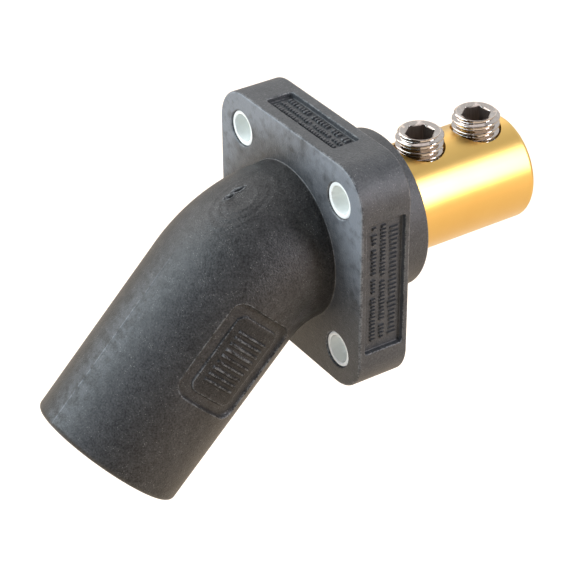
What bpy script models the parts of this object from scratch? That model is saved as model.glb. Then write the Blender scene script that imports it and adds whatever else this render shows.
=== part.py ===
"""Angled panel receptacle with a moulded elbow sleeve and a set-screw wire barrel.

Frame: the origin is where the barrel's axis meets the back face of the flange, +Y runs
from the panel's outside to its inside, +Z is up and +X is to the right seen from outside.
Lengths are in metres and angles in degrees.
"""

import math

import bmesh
import bpy
from mathutils import Vector

# Flange, the square plate that closes the panel's cut-out
HOLE_SPACING = 0.0381
HOLE_TO_EDGE = 0.0087
FLANGE_THICKNESS = 0.0127
FLANGE_CORNER_RADIUS = 0.0091
FLANGE_EDGE_RADIUS = 0.0005

# Boss behind the flange
BOSS_WALL = 0.0060
BOSS_LENGTH = 0.01225
BOSS_EDGE_RADIUS = 0.0006

# Elbow sleeve in front of the flange
BEND_DIAMETER = 0.0366
BEND_RADIUS = 0.0245
BEND_ANGLE = 45.0
SLEEVE_LENGTH = 0.0449
MOUTH_BORE_DIAMETER = 0.0256
MOUTH_WALL = 0.00525
MOUTH_EDGE_RADIUS = 0.0013
MOUTH_BORE_CHAMFER = 0.0006
BASE_FILLET = 0.0007

# Shallow recesses in the flange's top and right edges, and what is left round each
RECESS_DEPTH = 0.0013
RECESS_CORNER_RADIUS = 0.0007
TOP_RECESS_LEFT_MARGIN = 0.01405
TOP_RECESS_RIGHT_MARGIN = 0.01525
TOP_RECESS_FRONT_MARGIN = 0.0031
TOP_RECESS_BACK_MARGIN = 0.0027
SIDE_RECESS_UPPER_MARGIN = 0.01135
SIDE_RECESS_LOWER_MARGIN = 0.01155
SIDE_RECESS_FRONT_MARGIN = 0.0014
SIDE_RECESS_BACK_MARGIN = 0.0015

# Recessed plate on the sleeve's right side, with a raised pad in it
PLATE_LENGTH = 0.0243
PLATE_WIDTH = 0.0178
PLATE_CORNER_RADIUS = 0.0030
PLATE_DEPTH = 0.0010
PLATE_PAST_BEND = 0.0103
PAD_END_MARGIN = 0.00235
PAD_SIDE_MARGIN = 0.0023
PAD_CORNER_RADIUS = 0.0022
PAD_BELOW_SURFACE = 0.00035

# Mounting bushings, one in each corner hole
BUSHING_BORE_DIAMETER = 0.0064
BUSHING_WALL = 0.00095
BUSHING_EDGE_RADIUS = 0.0002
BUSHING_FIT = 0.0003

# Wire barrel, turned from round bar
BARREL_DIAMETER = 0.0254
BARREL_EDGE_RADIUS = 0.0012
BARREL_SHOULDER_DEPTH = 0.0020
BARREL_SHOULDER_CHAMFER = 0.0005
WIRE_BORE_DIAMETER = 0.0147
WIRE_BORE_DEPTH = 0.0343
WIRE_BORE_CHAMFER = 0.0008
DRILL_POINT_ANGLE = 118.0
SHANK_DIAMETER = 0.0184
SHANK_TIP_PAST_KNEE = 0.0060
GROOVE_COUNT = 2
GROOVE_WIDTH = 0.0022
GROOVE_DEPTH = 0.0008
GROOVE_PITCH = 0.0042
GROOVE_FROM_SHOULDER = 0.0024
BRASS_FIT = 0.0003

# Socket contact, seated on the shank's slanted face
CONTACT_BORE_DIAMETER = 0.0127
CONTACT_WALL = 0.00315
CONTACT_LENGTH = 0.0287
CONTACT_FLOOR = 0.0050
CONTACT_EDGE_CHAMFER = 0.0004
CONTACT_LEAD_IN = 0.0008
CAM_PIN_DIAMETER = 0.0040
CAM_PIN_INTRUSION = 0.0018
CAM_PIN_FROM_FRONT = 0.0080
SEAT_GAP = 0.0003

# Cap screw and washer that pull the contact onto the shank
JOINT_SCREW_DIAMETER = 0.0060
JOINT_THREAD_DEPTH = 0.0072
JOINT_HEAD_CLEARANCE = 0.00135
JOINT_HEAD_HEIGHT = 0.0060
JOINT_HEAD_CHAMFER = 0.0005
JOINT_HEX_WIDTH = 0.0050
JOINT_HEX_DEPTH = 0.0030
JOINT_HOLE_SPARE_DEPTH = 0.0008
JOINT_HOLE_FIT = 0.0003
WASHER_CLEARANCE = 0.0006
WASHER_THICKNESS = 0.0012

# Set screws in the barrel's top, and the brass left before, between and behind them
SET_SCREW_DIAMETER = 0.01111
SET_SCREW_LENGTH = 0.0095
SET_SCREW_STAND_OUT = 0.00376
SET_SCREW_FIT = 0.0003
LAND_AT_BOSS = 0.00504
LAND_BETWEEN = 0.0049
LAND_AT_END = 0.00289
THREAD_PITCH = 0.0015875
THREAD_CREST_FROM_TOP = 0.0012
THREAD_DEPTH_SHARE = 0.5413
THREAD_OVERRUN = 0.0004
TOP_CHAMFER = 0.00085
TOP_DISH_ANGLE = 20.0
TOP_DISH_FLOOR_DIAMETER = 0.0028
POINT_DIAMETER = 0.0058
CUP_DEPTH = 0.0008
HEX_WIDTH = 0.005556
HEX_DEPTH = 0.0050
HEX_TURN = 9.0

# Facets: points round the large, middle and small round pieces, and steps in an arc
ROUND_LARGE = 48
ROUND_MIDDLE = 36
ROUND_SMALL = 24
ARC_STEPS = 3
EDGE_STEPS = 2
CORNER_STEPS = 6
BEND_STEPS = 9
FILLET_SWEEP = 60.0
CUT_MARGIN = 0.003
WELD_DISTANCE = 1e-6
SHARP_ANGLE = 35.0

# Colour, roughness and metallic value of each material
FINISHES = {
    "moulded_elastomer": ((0.030, 0.031, 0.034, 1.0), 0.55, 0.0),
    "turned_brass": ((0.80, 0.52, 0.20, 1.0), 0.30, 1.0),
    "natural_nylon": ((0.83, 0.85, 0.82, 1.0), 0.35, 0.0),
    "plated_steel": ((0.62, 0.60, 0.58, 1.0), 0.22, 1.0),
}


def flange_side():
    """Side of the square flange."""
    return HOLE_SPACING + 2 * HOLE_TO_EDGE


def boss_radius():
    """Radius of the boss, which wraps the barrel."""
    return BARREL_DIAMETER / 2 + BOSS_WALL


def bend_length():
    """Length of the bend along the centreline."""
    return BEND_RADIUS * math.radians(BEND_ANGLE)


def knee_distance():
    """Distance from the bend's start to where the two straight axes cross."""
    return BEND_RADIUS * math.tan(math.radians(BEND_ANGLE) / 2)


def mouth_radius():
    """Outer radius of the sleeve at its mouth."""
    return MOUTH_BORE_DIAMETER / 2 + MOUTH_WALL


def bushing_radius():
    """Outer radius of a bushing."""
    return BUSHING_BORE_DIAMETER / 2 + BUSHING_WALL


def contact_radius():
    """Outer radius of the socket contact."""
    return CONTACT_BORE_DIAMETER / 2 + CONTACT_WALL


def set_screw_height():
    """Height of a set screw's top above the barrel's axis."""
    return BARREL_DIAMETER / 2 + SET_SCREW_STAND_OUT


def set_screw_places():
    """Name and place along the barrel of each set screw."""
    front = BOSS_LENGTH + LAND_AT_BOSS + SET_SCREW_DIAMETER / 2
    return ("front", front), ("rear", front + SET_SCREW_DIAMETER + LAND_BETWEEN)


def barrel_end():
    """Distance of the barrel's rear end from the flange's back face."""
    return set_screw_places()[-1][1] + SET_SCREW_DIAMETER / 2 + LAND_AT_END


def cam_pin_offset():
    """Distance of the cam pin's axis from the contact's axis."""
    return (CONTACT_BORE_DIAMETER + CAM_PIN_DIAMETER) / 2 - CAM_PIN_INTRUSION


def finish(name):
    """Material with the named colour, roughness and metallic value."""
    material = bpy.data.materials.get(name)
    if material is None:
        colour, roughness, metallic = FINISHES[name]
        material = bpy.data.materials.new(name)
        material.use_nodes = True
        shader = material.node_tree.nodes["Principled BSDF"]
        shader.inputs["Base Color"].default_value = colour
        shader.inputs["Roughness"].default_value = roughness
        shader.inputs["Metallic"].default_value = metallic
        material.diffuse_color = colour
    return material


def make_mesh(name, shape):
    """Mesh from a bmesh, with its faces turned outwards and its round sides smooth."""
    bmesh.ops.recalc_face_normals(shape, faces=shape.faces)
    mesh = bpy.data.meshes.new(name)
    shape.to_mesh(mesh)
    shape.free()
    mesh.shade_smooth()
    mesh.set_sharp_from_angle(angle=math.radians(SHARP_ANGLE))
    return mesh


def add_object(name, mesh, parent, location=(0, 0, 0), rotation=(0, 0, 0), material=None):
    """Object placed in its parent's frame; rotation is in degrees about X, Y and Z."""
    item = bpy.data.objects.new(name, mesh)
    bpy.context.scene.collection.objects.link(item)
    item.parent = parent
    item.location = location
    item.rotation_euler = [math.radians(angle) for angle in rotation]
    if material:
        item.data.materials.clear()
        item.data.materials.append(finish(material))
    return item


def combine(target, operation, other):
    """Boolean modifier on target; the other object becomes a guide that isn't a piece."""
    modifier = target.modifiers.new(other.name, "BOOLEAN")
    modifier.operation = operation
    modifier.solver = "EXACT"
    modifier.object = other
    other.hide_render = True
    other.display_type = "WIRE"


def side_quads(shape, first, second):
    """Faces between two loops; a loop of one point gives triangles that meet there."""
    count = max(len(first), len(second))
    for i in range(count):
        j = i + 1
        corners = (
            first[i % len(first)],
            first[j % len(first)],
            second[j % len(second)],
            second[i % len(second)],
        )
        shape.faces.new(list(dict.fromkeys(corners)))


def loft(loops):
    """Closed body through point loops of equal length, with a flat cap at each end."""
    shape = bmesh.new()
    rings = [[shape.verts.new(point) for point in loop] for loop in loops]
    for first, second in zip(rings, rings[1:]):
        side_quads(shape, first, second)
    shape.faces.new(rings[0])
    shape.faces.new(rings[-1])
    return shape


def turned(profile, count, tube=False):
    """Body turned about Z from (radius, height) points, with its ends capped, or a tube."""
    shape = bmesh.new()
    rings = []
    for radius, height in profile:
        if radius == 0:
            rings.append([shape.verts.new((0, 0, height))])
            continue
        angles = [2 * math.pi * i / count for i in range(count)]
        rings.append(
            [shape.verts.new((radius * math.cos(a), radius * math.sin(a), height)) for a in angles]
        )
    for first, second in zip(rings, rings[1:]):
        side_quads(shape, first, second)
    if tube:
        side_quads(shape, rings[-1], rings[0])
        return shape
    for ring in (rings[0], rings[-1]):
        if len(ring) > 1:
            shape.faces.new(ring)
    return shape


def cylinder(radius, bottom, top, count):
    """Plain cylinder about Z."""
    return turned([(radius, bottom), (radius, top)], count)


def quarter_arc(radius, steps=ARC_STEPS, sweep=90.0):
    """(inset, setback) pairs of an arc, from its tangent with the side towards the end face."""
    angles = [math.radians(sweep * i / steps) for i in range(steps + 1)]
    return [(radius * (1 - math.cos(a)), radius * (1 - math.sin(a))) for a in angles]


def rounded_rectangle(length, width, radius, steps=CORNER_STEPS):
    """Outline points of a rectangle with round corners, centred on the origin."""
    points = []
    corners = ((1, 1, 0), (-1, 1, 90), (-1, -1, 180), (1, -1, 270))
    for side, end, start in corners:
        centre_x = side * (length / 2 - radius)
        centre_y = end * (width / 2 - radius)
        for i in range(steps + 1):
            angle = math.radians(start + 90 * i / steps)
            points.append((centre_x + radius * math.cos(angle), centre_y + radius * math.sin(angle)))
    return points


def rounded_prism(length, width, radius, bottom, top):
    """Prism along Z on a rounded rectangle."""
    outline = rounded_rectangle(length, width, radius)
    return loft([[(x, y, height) for x, y in outline] for height in (bottom, top)])


def hexagon_prism(width, bottom, top, turn=0.0):
    """Prism along Z on a hexagon of the given width across flats."""
    corner = width / math.sqrt(3)
    angles = [math.radians(turn + 60 * i) for i in range(6)]
    outline = [(corner * math.cos(a), corner * math.sin(a)) for a in angles]
    return loft([[(x, y, height) for x, y in outline] for height in (bottom, top)])


def centreline(distance):
    """Point and tilt in radians of the sleeve's centreline, past the flange's front face."""
    angle = math.radians(BEND_ANGLE)
    turn = min(max(distance / BEND_RADIUS, 0.0), angle)
    bend = Vector((0, -BEND_RADIUS * math.sin(turn), BEND_RADIUS * (math.cos(turn) - 1)))
    along = distance - BEND_RADIUS * turn
    straight = Vector((0, -math.cos(turn), -math.sin(turn))) * along
    return Vector((0, -FLANGE_THICKNESS, 0)) + bend + straight, turn


def sleeve_radius(distance):
    """Outer radius of the sleeve, which tapers along its straight part."""
    share = max(distance - bend_length(), 0.0) / SLEEVE_LENGTH
    return BEND_DIAMETER / 2 + share * (mouth_radius() - BEND_DIAMETER / 2)


def centreline_ring(distance, radius):
    """Ring of points square to the centreline."""
    centre, turn = centreline(distance)
    across = Vector((1, 0, 0))
    outward = Vector((0, -math.sin(turn), math.cos(turn)))
    angles = [2 * math.pi * i / ROUND_LARGE for i in range(ROUND_LARGE)]
    return [centre + radius * (math.cos(a) * across + math.sin(a) * outward) for a in angles]


def sleeve_distances(start, end):
    """Distances along the centreline: every step of the bend, then its straight end."""
    steps = [bend_length() * i / BEND_STEPS for i in range(BEND_STEPS + 1)]
    return [start] + [step for step in steps if start < step < end] + [end]


def sleeve_core(inset):
    """The sleeve's outside moved inwards by inset, for work on its curved surface."""
    distances = sleeve_distances(-FLANGE_THICKNESS / 2, bend_length() + SLEEVE_LENGTH)
    return loft([centreline_ring(d, sleeve_radius(d) - inset) for d in distances])


def body_blank():
    """Boss, elbow and sleeve as one swept body, with round ends and a fillet at the flange."""
    rear = -FLANGE_THICKNESS - BOSS_LENGTH
    mouth = bend_length() + SLEEVE_LENGTH
    fillet = quarter_arc(BASE_FILLET, sweep=FILLET_SWEEP)
    stations = []
    for inset, setback in reversed(quarter_arc(BOSS_EDGE_RADIUS)):
        stations.append((rear + setback, boss_radius() - inset))
    for flare, gap in fillet:
        stations.append((-FLANGE_THICKNESS - gap, boss_radius() + flare))
    for flare, gap in reversed(fillet):
        stations.append((gap, BEND_DIAMETER / 2 + flare))
    for distance in sleeve_distances(BASE_FILLET, mouth - MOUTH_EDGE_RADIUS)[1:-1]:
        stations.append((distance, sleeve_radius(distance)))
    for inset, setback in quarter_arc(MOUTH_EDGE_RADIUS):
        stations.append((mouth - setback, sleeve_radius(mouth - setback) - inset))
    return loft([centreline_ring(distance, radius) for distance, radius in stations])


def flange_plate():
    """Square plate with round corners and slightly round front and back edges."""
    edge = quarter_arc(FLANGE_EDGE_RADIUS, EDGE_STEPS)
    levels = [(-FLANGE_THICKNESS + setback, inset) for inset, setback in reversed(edge)]
    levels += [(-setback, inset) for inset, setback in edge]
    loops = []
    for depth, inset in levels:
        side = flange_side() - 2 * inset
        outline = rounded_rectangle(side, side, FLANGE_CORNER_RADIUS - inset)
        loops.append([(x, depth, z) for x, z in outline])
    return loft(loops)


def corner_holes():
    """Name and place of each mounting hole; left and right are seen from outside."""
    half = HOLE_SPACING / 2
    for height, z in (("upper", half), ("lower", -half)):
        for side, x in (("left", -half), ("right", half)):
            yield f"{height}_{side}", x, z


def barrel_profile(gap, rear):
    """Outline of barrel and shank from the tip to rear, grown by gap for the housing's cavity."""
    shank = SHANK_DIAMETER / 2 + gap
    barrel = BARREL_DIAMETER / 2 + gap
    shoulder = -BARREL_SHOULDER_DEPTH - gap
    tip = -FLANGE_THICKNESS - knee_distance() - SHANK_TIP_PAST_KNEE - gap
    points = [(shank, tip)]
    for i in reversed(range(GROOVE_COUNT)):
        middle = -BARREL_SHOULDER_DEPTH - GROOVE_FROM_SHOULDER - i * GROOVE_PITCH
        half = GROOVE_WIDTH / 2 - gap
        points += [(shank, middle - half), (shank - GROOVE_DEPTH, middle - half)]
        points += [(shank - GROOVE_DEPTH, middle + half), (shank, middle + half)]
    points += [(shank, shoulder), (barrel - BARREL_SHOULDER_CHAMFER, shoulder)]
    points += [(barrel, shoulder + BARREL_SHOULDER_CHAMFER), (barrel, rear)]
    return points


def build_housing(root, knee):
    """Moulded one-piece housing: flange, boss and elbow sleeve, hollow right through."""
    body = add_object("housing", make_mesh("housing", body_blank()), root,
                      material="moulded_elastomer")
    plate = add_object("flange_plate_guide", make_mesh("flange_plate", flange_plate()), root)
    combine(body, "UNION", plate)

    rear = BOSS_LENGTH + CUT_MARGIN
    profile = barrel_profile(BRASS_FIT, rear)
    cavity = add_object("barrel_cavity", make_mesh("barrel_cavity", turned(profile, ROUND_LARGE)),
                        root, rotation=(-90, 0, 0))
    combine(cavity, "DIFFERENCE", slanted_end("cavity_end", knee, 0.0))
    combine(body, "DIFFERENCE", cavity)

    bore = add_object("sleeve_bore", make_mesh("sleeve_bore", sleeve_bore()), knee)
    combine(body, "DIFFERENCE", bore)

    for name, x, z in corner_holes():
        hole = cylinder(bushing_radius() + BUSHING_FIT, -FLANGE_THICKNESS - CUT_MARGIN,
                        CUT_MARGIN, ROUND_SMALL)
        cutter = add_object(f"hole_{name}", make_mesh(f"hole_{name}", hole), root,
                            location=(x, 0, z), rotation=(-90, 0, 0))
        combine(body, "DIFFERENCE", cutter)

    combine(body, "DIFFERENCE", top_recess(root))
    combine(body, "DIFFERENCE", side_recess(root))
    combine(body, "DIFFERENCE", plate_recess(root, knee))


def sleeve_bore():
    """Cutter about the contact's axis: the contact's seat, the wider bore and the flared mouth."""
    seat = contact_radius() + BRASS_FIT
    radius = MOUTH_BORE_DIAMETER / 2
    mouth = knee_distance() + SLEEVE_LENGTH
    flare = MOUTH_BORE_CHAMFER + CUT_MARGIN
    points = [(seat, -BRASS_FIT), (seat, CONTACT_LENGTH), (radius, CONTACT_LENGTH)]
    points += [(radius, mouth - MOUTH_BORE_CHAMFER), (radius + flare, mouth + CUT_MARGIN)]
    return turned(points, ROUND_LARGE)


def top_recess(root):
    """Cutter for the recess in the flange's top edge."""
    edge = flange_side() / 2
    left = TOP_RECESS_LEFT_MARGIN - edge
    right = edge - TOP_RECESS_RIGHT_MARGIN
    front = TOP_RECESS_FRONT_MARGIN - FLANGE_THICKNESS
    back = -TOP_RECESS_BACK_MARGIN
    block = rounded_prism(right - left, back - front, RECESS_CORNER_RADIUS, -RECESS_DEPTH, CUT_MARGIN)
    return add_object("top_recess", make_mesh("top_recess", block), root,
                      location=((left + right) / 2, (front + back) / 2, edge))


def side_recess(root):
    """Cutter for the recess in the flange's right edge."""
    edge = flange_side() / 2
    low = SIDE_RECESS_LOWER_MARGIN - edge
    high = edge - SIDE_RECESS_UPPER_MARGIN
    front = SIDE_RECESS_FRONT_MARGIN - FLANGE_THICKNESS
    back = -SIDE_RECESS_BACK_MARGIN
    block = rounded_prism(high - low, back - front, RECESS_CORNER_RADIUS, -RECESS_DEPTH, CUT_MARGIN)
    return add_object("side_recess", make_mesh("side_recess", block), root,
                      location=(edge, (front + back) / 2, (low + high) / 2), rotation=(0, 90, 0))


def plate_recess(root, knee):
    """Cutter for the recessed plate, whose floor and pad follow the sleeve's surface."""
    inside = BEND_DIAMETER / 4
    outside = BEND_DIAMETER / 2 + CUT_MARGIN
    middle = knee_distance() + PLATE_PAST_BEND
    block = rounded_prism(PLATE_LENGTH, PLATE_WIDTH, PLATE_CORNER_RADIUS, inside, outside)
    cutter = add_object("plate_recess", make_mesh("plate_recess", block), knee,
                        location=(0, 0, middle), rotation=(0, 90, 0))
    floor = add_object("plate_floor", make_mesh("plate_floor", sleeve_core(PLATE_DEPTH)), root)
    combine(cutter, "DIFFERENCE", floor)
    block = rounded_prism(PLATE_LENGTH - 2 * PAD_END_MARGIN, PLATE_WIDTH - 2 * PAD_SIDE_MARGIN,
                          PAD_CORNER_RADIUS, inside / 2, outside)
    pad = add_object("plate_pad", make_mesh("plate_pad", block), knee,
                     location=(0, 0, middle), rotation=(0, 90, 0))
    top = add_object("pad_top", make_mesh("pad_top", sleeve_core(PAD_BELOW_SURFACE)), root)
    combine(pad, "INTERSECT", top)
    combine(cutter, "DIFFERENCE", pad)
    return cutter


def slanted_end(name, knee, start):
    """Cutter for everything past the slanted plane, start along the contact's axis from the knee."""
    reach = 2 * SHANK_DIAMETER
    block = rounded_prism(2 * reach, 2 * reach, reach / 4, start, start + reach)
    return add_object(name, make_mesh(name, block), knee)


def build_wire_barrel(root, knee):
    """Brass barrel with its wire bore, shank, retention grooves and slanted contact face."""
    end = barrel_end()
    profile = barrel_profile(0.0, end - BARREL_EDGE_RADIUS)[:-1]
    for inset, setback in quarter_arc(BARREL_EDGE_RADIUS):
        profile.append((BARREL_DIAMETER / 2 - inset, end - setback))
    bore = WIRE_BORE_DIAMETER / 2
    floor = end - WIRE_BORE_DEPTH
    point = bore / math.tan(math.radians(DRILL_POINT_ANGLE) / 2)
    profile += [(bore + WIRE_BORE_CHAMFER, end), (bore, end - WIRE_BORE_CHAMFER)]
    profile += [(bore, floor), (0, floor - point)]
    barrel = add_object("wire_barrel", make_mesh("wire_barrel", turned(profile, ROUND_LARGE)), root,
                        rotation=(-90, 0, 0), material="turned_brass")
    combine(barrel, "DIFFERENCE", slanted_end("shank_face", knee, -SEAT_GAP))

    hole = cylinder(JOINT_SCREW_DIAMETER / 2 + JOINT_HOLE_FIT,
                    -JOINT_THREAD_DEPTH - JOINT_HOLE_SPARE_DEPTH, CUT_MARGIN, ROUND_SMALL)
    combine(barrel, "DIFFERENCE", add_object("joint_hole", make_mesh("joint_hole", hole), knee))

    for name, y in set_screw_places():
        hole = cylinder(SET_SCREW_DIAMETER / 2 + SET_SCREW_FIT, 0, BARREL_DIAMETER / 2 + CUT_MARGIN,
                        ROUND_MIDDLE)
        cutter = add_object(f"tapped_hole_{name}", make_mesh(f"tapped_hole_{name}", hole), root,
                            location=(0, y, 0))
        combine(barrel, "DIFFERENCE", cutter)


def joint_head_seat():
    """Height of the cap screw's bearing face on the contact's axis."""
    return CONTACT_FLOOR + SEAT_GAP + WASHER_THICKNESS + SEAT_GAP


def build_socket_contact(knee):
    """Brass socket with a bored front and a drilled floor, and the cam pin that crosses its bore."""
    outer = contact_radius()
    bore = CONTACT_BORE_DIAMETER / 2
    hole = JOINT_SCREW_DIAMETER / 2 + JOINT_HOLE_FIT
    profile = [
        (hole, 0),
        (outer - CONTACT_EDGE_CHAMFER, 0),
        (outer, CONTACT_EDGE_CHAMFER),
        (outer, CONTACT_LENGTH - CONTACT_EDGE_CHAMFER),
        (outer - CONTACT_EDGE_CHAMFER, CONTACT_LENGTH),
        (bore + CONTACT_LEAD_IN, CONTACT_LENGTH),
        (bore, CONTACT_LENGTH - CONTACT_LEAD_IN),
        (bore, CONTACT_FLOOR),
        (hole, CONTACT_FLOOR),
    ]
    contact = add_object("socket_contact", make_mesh("socket_contact",
                         turned(profile, ROUND_MIDDLE, tube=True)), knee, material="turned_brass")
    reach = outer + CUT_MARGIN
    drill = cylinder(CAM_PIN_DIAMETER / 2 + SEAT_GAP, -reach, reach, ROUND_SMALL)
    place = (0, cam_pin_offset(), CONTACT_LENGTH - CAM_PIN_FROM_FRONT)
    cutter = add_object("cam_pin_hole", make_mesh("cam_pin_hole", drill), knee, location=place,
                        rotation=(0, 90, 0))
    combine(contact, "DIFFERENCE", cutter)

    dowel = cylinder(CAM_PIN_DIAMETER / 2, -reach, reach, ROUND_SMALL)
    pin = add_object("cam_pin", make_mesh("cam_pin", dowel), knee, location=place,
                     rotation=(0, 90, 0), material="plated_steel")
    outside = cylinder(outer, 0, CONTACT_LENGTH, ROUND_MIDDLE)
    combine(pin, "INTERSECT", add_object("pin_ends", make_mesh("pin_ends", outside), knee))


def build_joint_hardware(knee):
    """Cap screw and washer on the contact's floor."""
    seat = joint_head_seat()
    shank = JOINT_SCREW_DIAMETER / 2
    head = CONTACT_BORE_DIAMETER / 2 - JOINT_HEAD_CLEARANCE
    top = seat + JOINT_HEAD_HEIGHT
    profile = [
        (shank - JOINT_HEAD_CHAMFER, -JOINT_THREAD_DEPTH),
        (shank, JOINT_HEAD_CHAMFER - JOINT_THREAD_DEPTH),
        (shank, seat),
        (head, seat),
        (head, top - JOINT_HEAD_CHAMFER),
        (head - JOINT_HEAD_CHAMFER, top),
    ]
    screw = add_object("joint_screw", make_mesh("joint_screw", turned(profile, ROUND_SMALL)), knee,
                       material="plated_steel")
    key = hexagon_prism(JOINT_HEX_WIDTH, top - JOINT_HEX_DEPTH, top + CUT_MARGIN)
    combine(screw, "DIFFERENCE", add_object("joint_hex", make_mesh("joint_hex", key), knee))

    hole = shank + JOINT_HOLE_FIT
    low = CONTACT_FLOOR + SEAT_GAP
    high = low + WASHER_THICKNESS
    outer = CONTACT_BORE_DIAMETER / 2 - WASHER_CLEARANCE
    profile = [(hole, low), (outer, low), (outer, high), (hole, high)]
    add_object("joint_washer", make_mesh("joint_washer", turned(profile, ROUND_SMALL, tube=True)),
               knee, material="plated_steel")


def build_bushings(root):
    """Four nylon bushings, flush with both faces of the flange; they share one mesh."""
    outer = bushing_radius()
    bore = BUSHING_BORE_DIAMETER / 2
    edge = BUSHING_EDGE_RADIUS
    front = -FLANGE_THICKNESS
    profile = [
        (bore + edge, front),
        (outer - edge, front),
        (outer, front + edge),
        (outer, -edge),
        (outer - edge, 0),
        (bore + edge, 0),
        (bore, -edge),
        (bore, front + edge),
    ]
    mesh = make_mesh("bushing", turned(profile, ROUND_SMALL, tube=True))
    for name, x, z in corner_holes():
        add_object(f"bushing_{name}", mesh, root, location=(x, 0, z), rotation=(-90, 0, 0),
                   material="natural_nylon")


def threaded_rod(bottom, top):
    """Rod about Z with a right-hand vee thread, cut square at both ends.

    At angle zero a crest lies THREAD_CREST_FROM_TOP below the origin. The profile runs up
    one pitch as (radius, share of the pitch).
    """
    crest = SET_SCREW_DIAMETER / 2
    root = crest - THREAD_DEPTH_SHARE * THREAD_PITCH
    profile = [(root, 0.0), (root, 1 / 4), (crest, 9 / 16), (crest, 11 / 16)]
    crest_middle = 5 / 8
    start = -THREAD_CREST_FROM_TOP - crest_middle * THREAD_PITCH
    while start > bottom - THREAD_PITCH:
        start -= THREAD_PITCH
    turns = math.ceil((top - start) / THREAD_PITCH) + 1
    shape = bmesh.new()
    columns = []
    for i in range(turns * ROUND_SMALL + 1):
        angle = 2 * math.pi * i / ROUND_SMALL
        lift = start + THREAD_PITCH * i / ROUND_SMALL
        points = profile + [(root, 1.0)]
        columns.append([
            shape.verts.new((r * math.cos(angle), r * math.sin(angle), lift + share * THREAD_PITCH))
            for r, share in points
        ])
    for first, second in zip(columns, columns[1:]):
        for i in range(len(profile)):
            shape.faces.new((first[i], second[i], second[i + 1], first[i + 1]))
    bmesh.ops.remove_doubles(shape, verts=shape.verts, dist=WELD_DISTANCE)
    for height, end in ((bottom, -1), (top, 1)):
        everything = shape.verts[:] + shape.edges[:] + shape.faces[:]
        bmesh.ops.bisect_plane(shape, geom=everything, plane_co=(0, 0, height),
                               plane_no=(0, 0, end), clear_outer=True)
    bmesh.ops.holes_fill(shape, edges=[edge for edge in shape.edges if edge.is_boundary], sides=0)
    return shape


def set_screw_blank():
    """Turned outline of a set screw about Z, down from its top: chamfer, dish and cup point."""
    outside = SET_SCREW_DIAMETER / 2 + THREAD_OVERRUN
    rim = SET_SCREW_DIAMETER / 2 - TOP_CHAMFER
    centre = TOP_DISH_FLOOR_DIAMETER / 2
    dish = (rim - centre) * math.tan(math.radians(TOP_DISH_ANGLE))
    point = POINT_DIAMETER / 2
    profile = [
        (0, -SET_SCREW_LENGTH + CUP_DEPTH),
        (point, -SET_SCREW_LENGTH),
        (outside, -SET_SCREW_LENGTH + outside - point),
        (outside, rim - outside),
        (rim, 0),
        (centre, -dish),
    ]
    return turned(profile, ROUND_SMALL)


def build_set_screws(root):
    """Two threaded set screws with hexagon sockets; each origin is on its screw's axis."""
    rod = make_mesh("set_screw", threaded_rod(-SET_SCREW_LENGTH - THREAD_OVERRUN, THREAD_OVERRUN))
    blank = make_mesh("set_screw_blank", set_screw_blank())
    key = make_mesh("set_screw_hex", hexagon_prism(HEX_WIDTH, -HEX_DEPTH, CUT_MARGIN, HEX_TURN))
    for name, y in set_screw_places():
        place = (0, y, set_screw_height())
        screw = add_object(f"set_screw_{name}", rod, root, location=place, material="plated_steel")
        combine(screw, "INTERSECT", add_object(f"blank_{name}", blank, root, location=place))
        combine(screw, "DIFFERENCE", add_object(f"hex_{name}", key, root, location=place))


def main():
    """Remove what the scene holds and build every piece in place."""
    for item in list(bpy.data.objects):
        bpy.data.objects.remove(item, do_unlink=True)
    root = add_object("receptacle", None, None)
    knee_y = -FLANGE_THICKNESS - knee_distance()
    knee = add_object("contact_axis", None, root, location=(0, knee_y, 0),
                      rotation=(90 + BEND_ANGLE, 0, 0))
    build_housing(root, knee)
    build_wire_barrel(root, knee)
    build_socket_contact(knee)
    build_joint_hardware(knee)
    build_bushings(root)
    build_set_screws(root)


main()
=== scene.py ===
"""Dressed model of an angled panel receptacle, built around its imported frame.

A moulded elastomer housing with a square flange and an elbow sleeve carries a turned brass
barrel with two set screws, four nylon bushings and a socket contact. Lengths are in metres,
angles in radians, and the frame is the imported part's own: +Z up, -Y out of the panel.
"""

from __future__ import annotations

import logging
import math
from dataclasses import dataclass, field
from enum import Enum
from typing import Any, Iterable, Sequence

import bpy
import numpy as np
from mathutils import Matrix

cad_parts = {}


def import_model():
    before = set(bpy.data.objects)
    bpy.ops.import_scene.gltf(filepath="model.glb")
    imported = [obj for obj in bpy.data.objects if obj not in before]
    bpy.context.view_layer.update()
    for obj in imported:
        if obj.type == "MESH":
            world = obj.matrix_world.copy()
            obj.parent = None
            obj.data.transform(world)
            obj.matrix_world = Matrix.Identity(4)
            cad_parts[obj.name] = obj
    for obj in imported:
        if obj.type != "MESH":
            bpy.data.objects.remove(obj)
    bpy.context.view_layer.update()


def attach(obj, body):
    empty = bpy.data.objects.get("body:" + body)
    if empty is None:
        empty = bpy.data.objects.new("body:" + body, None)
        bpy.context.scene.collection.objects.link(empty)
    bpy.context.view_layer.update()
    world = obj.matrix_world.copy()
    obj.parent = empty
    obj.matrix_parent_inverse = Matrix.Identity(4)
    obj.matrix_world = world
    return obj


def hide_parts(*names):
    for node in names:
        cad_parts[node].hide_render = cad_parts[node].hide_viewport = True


log = logging.getLogger("receptacle")

TAU = 2.0 * math.pi
MM = 0.001
EDGE_WEAR = "edge_wear"

Pair = tuple[float, float]
Triple = tuple[float, float, float]
Mesh, Material, Item = bpy.types.Mesh, bpy.types.Material, bpy.types.Object


class Body(Enum):
    """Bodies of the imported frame."""

    RECEPTACLE = "receptacle"
    FRONT_SCREW = "front_screw"
    REAR_SCREW = "rear_screw"


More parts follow.
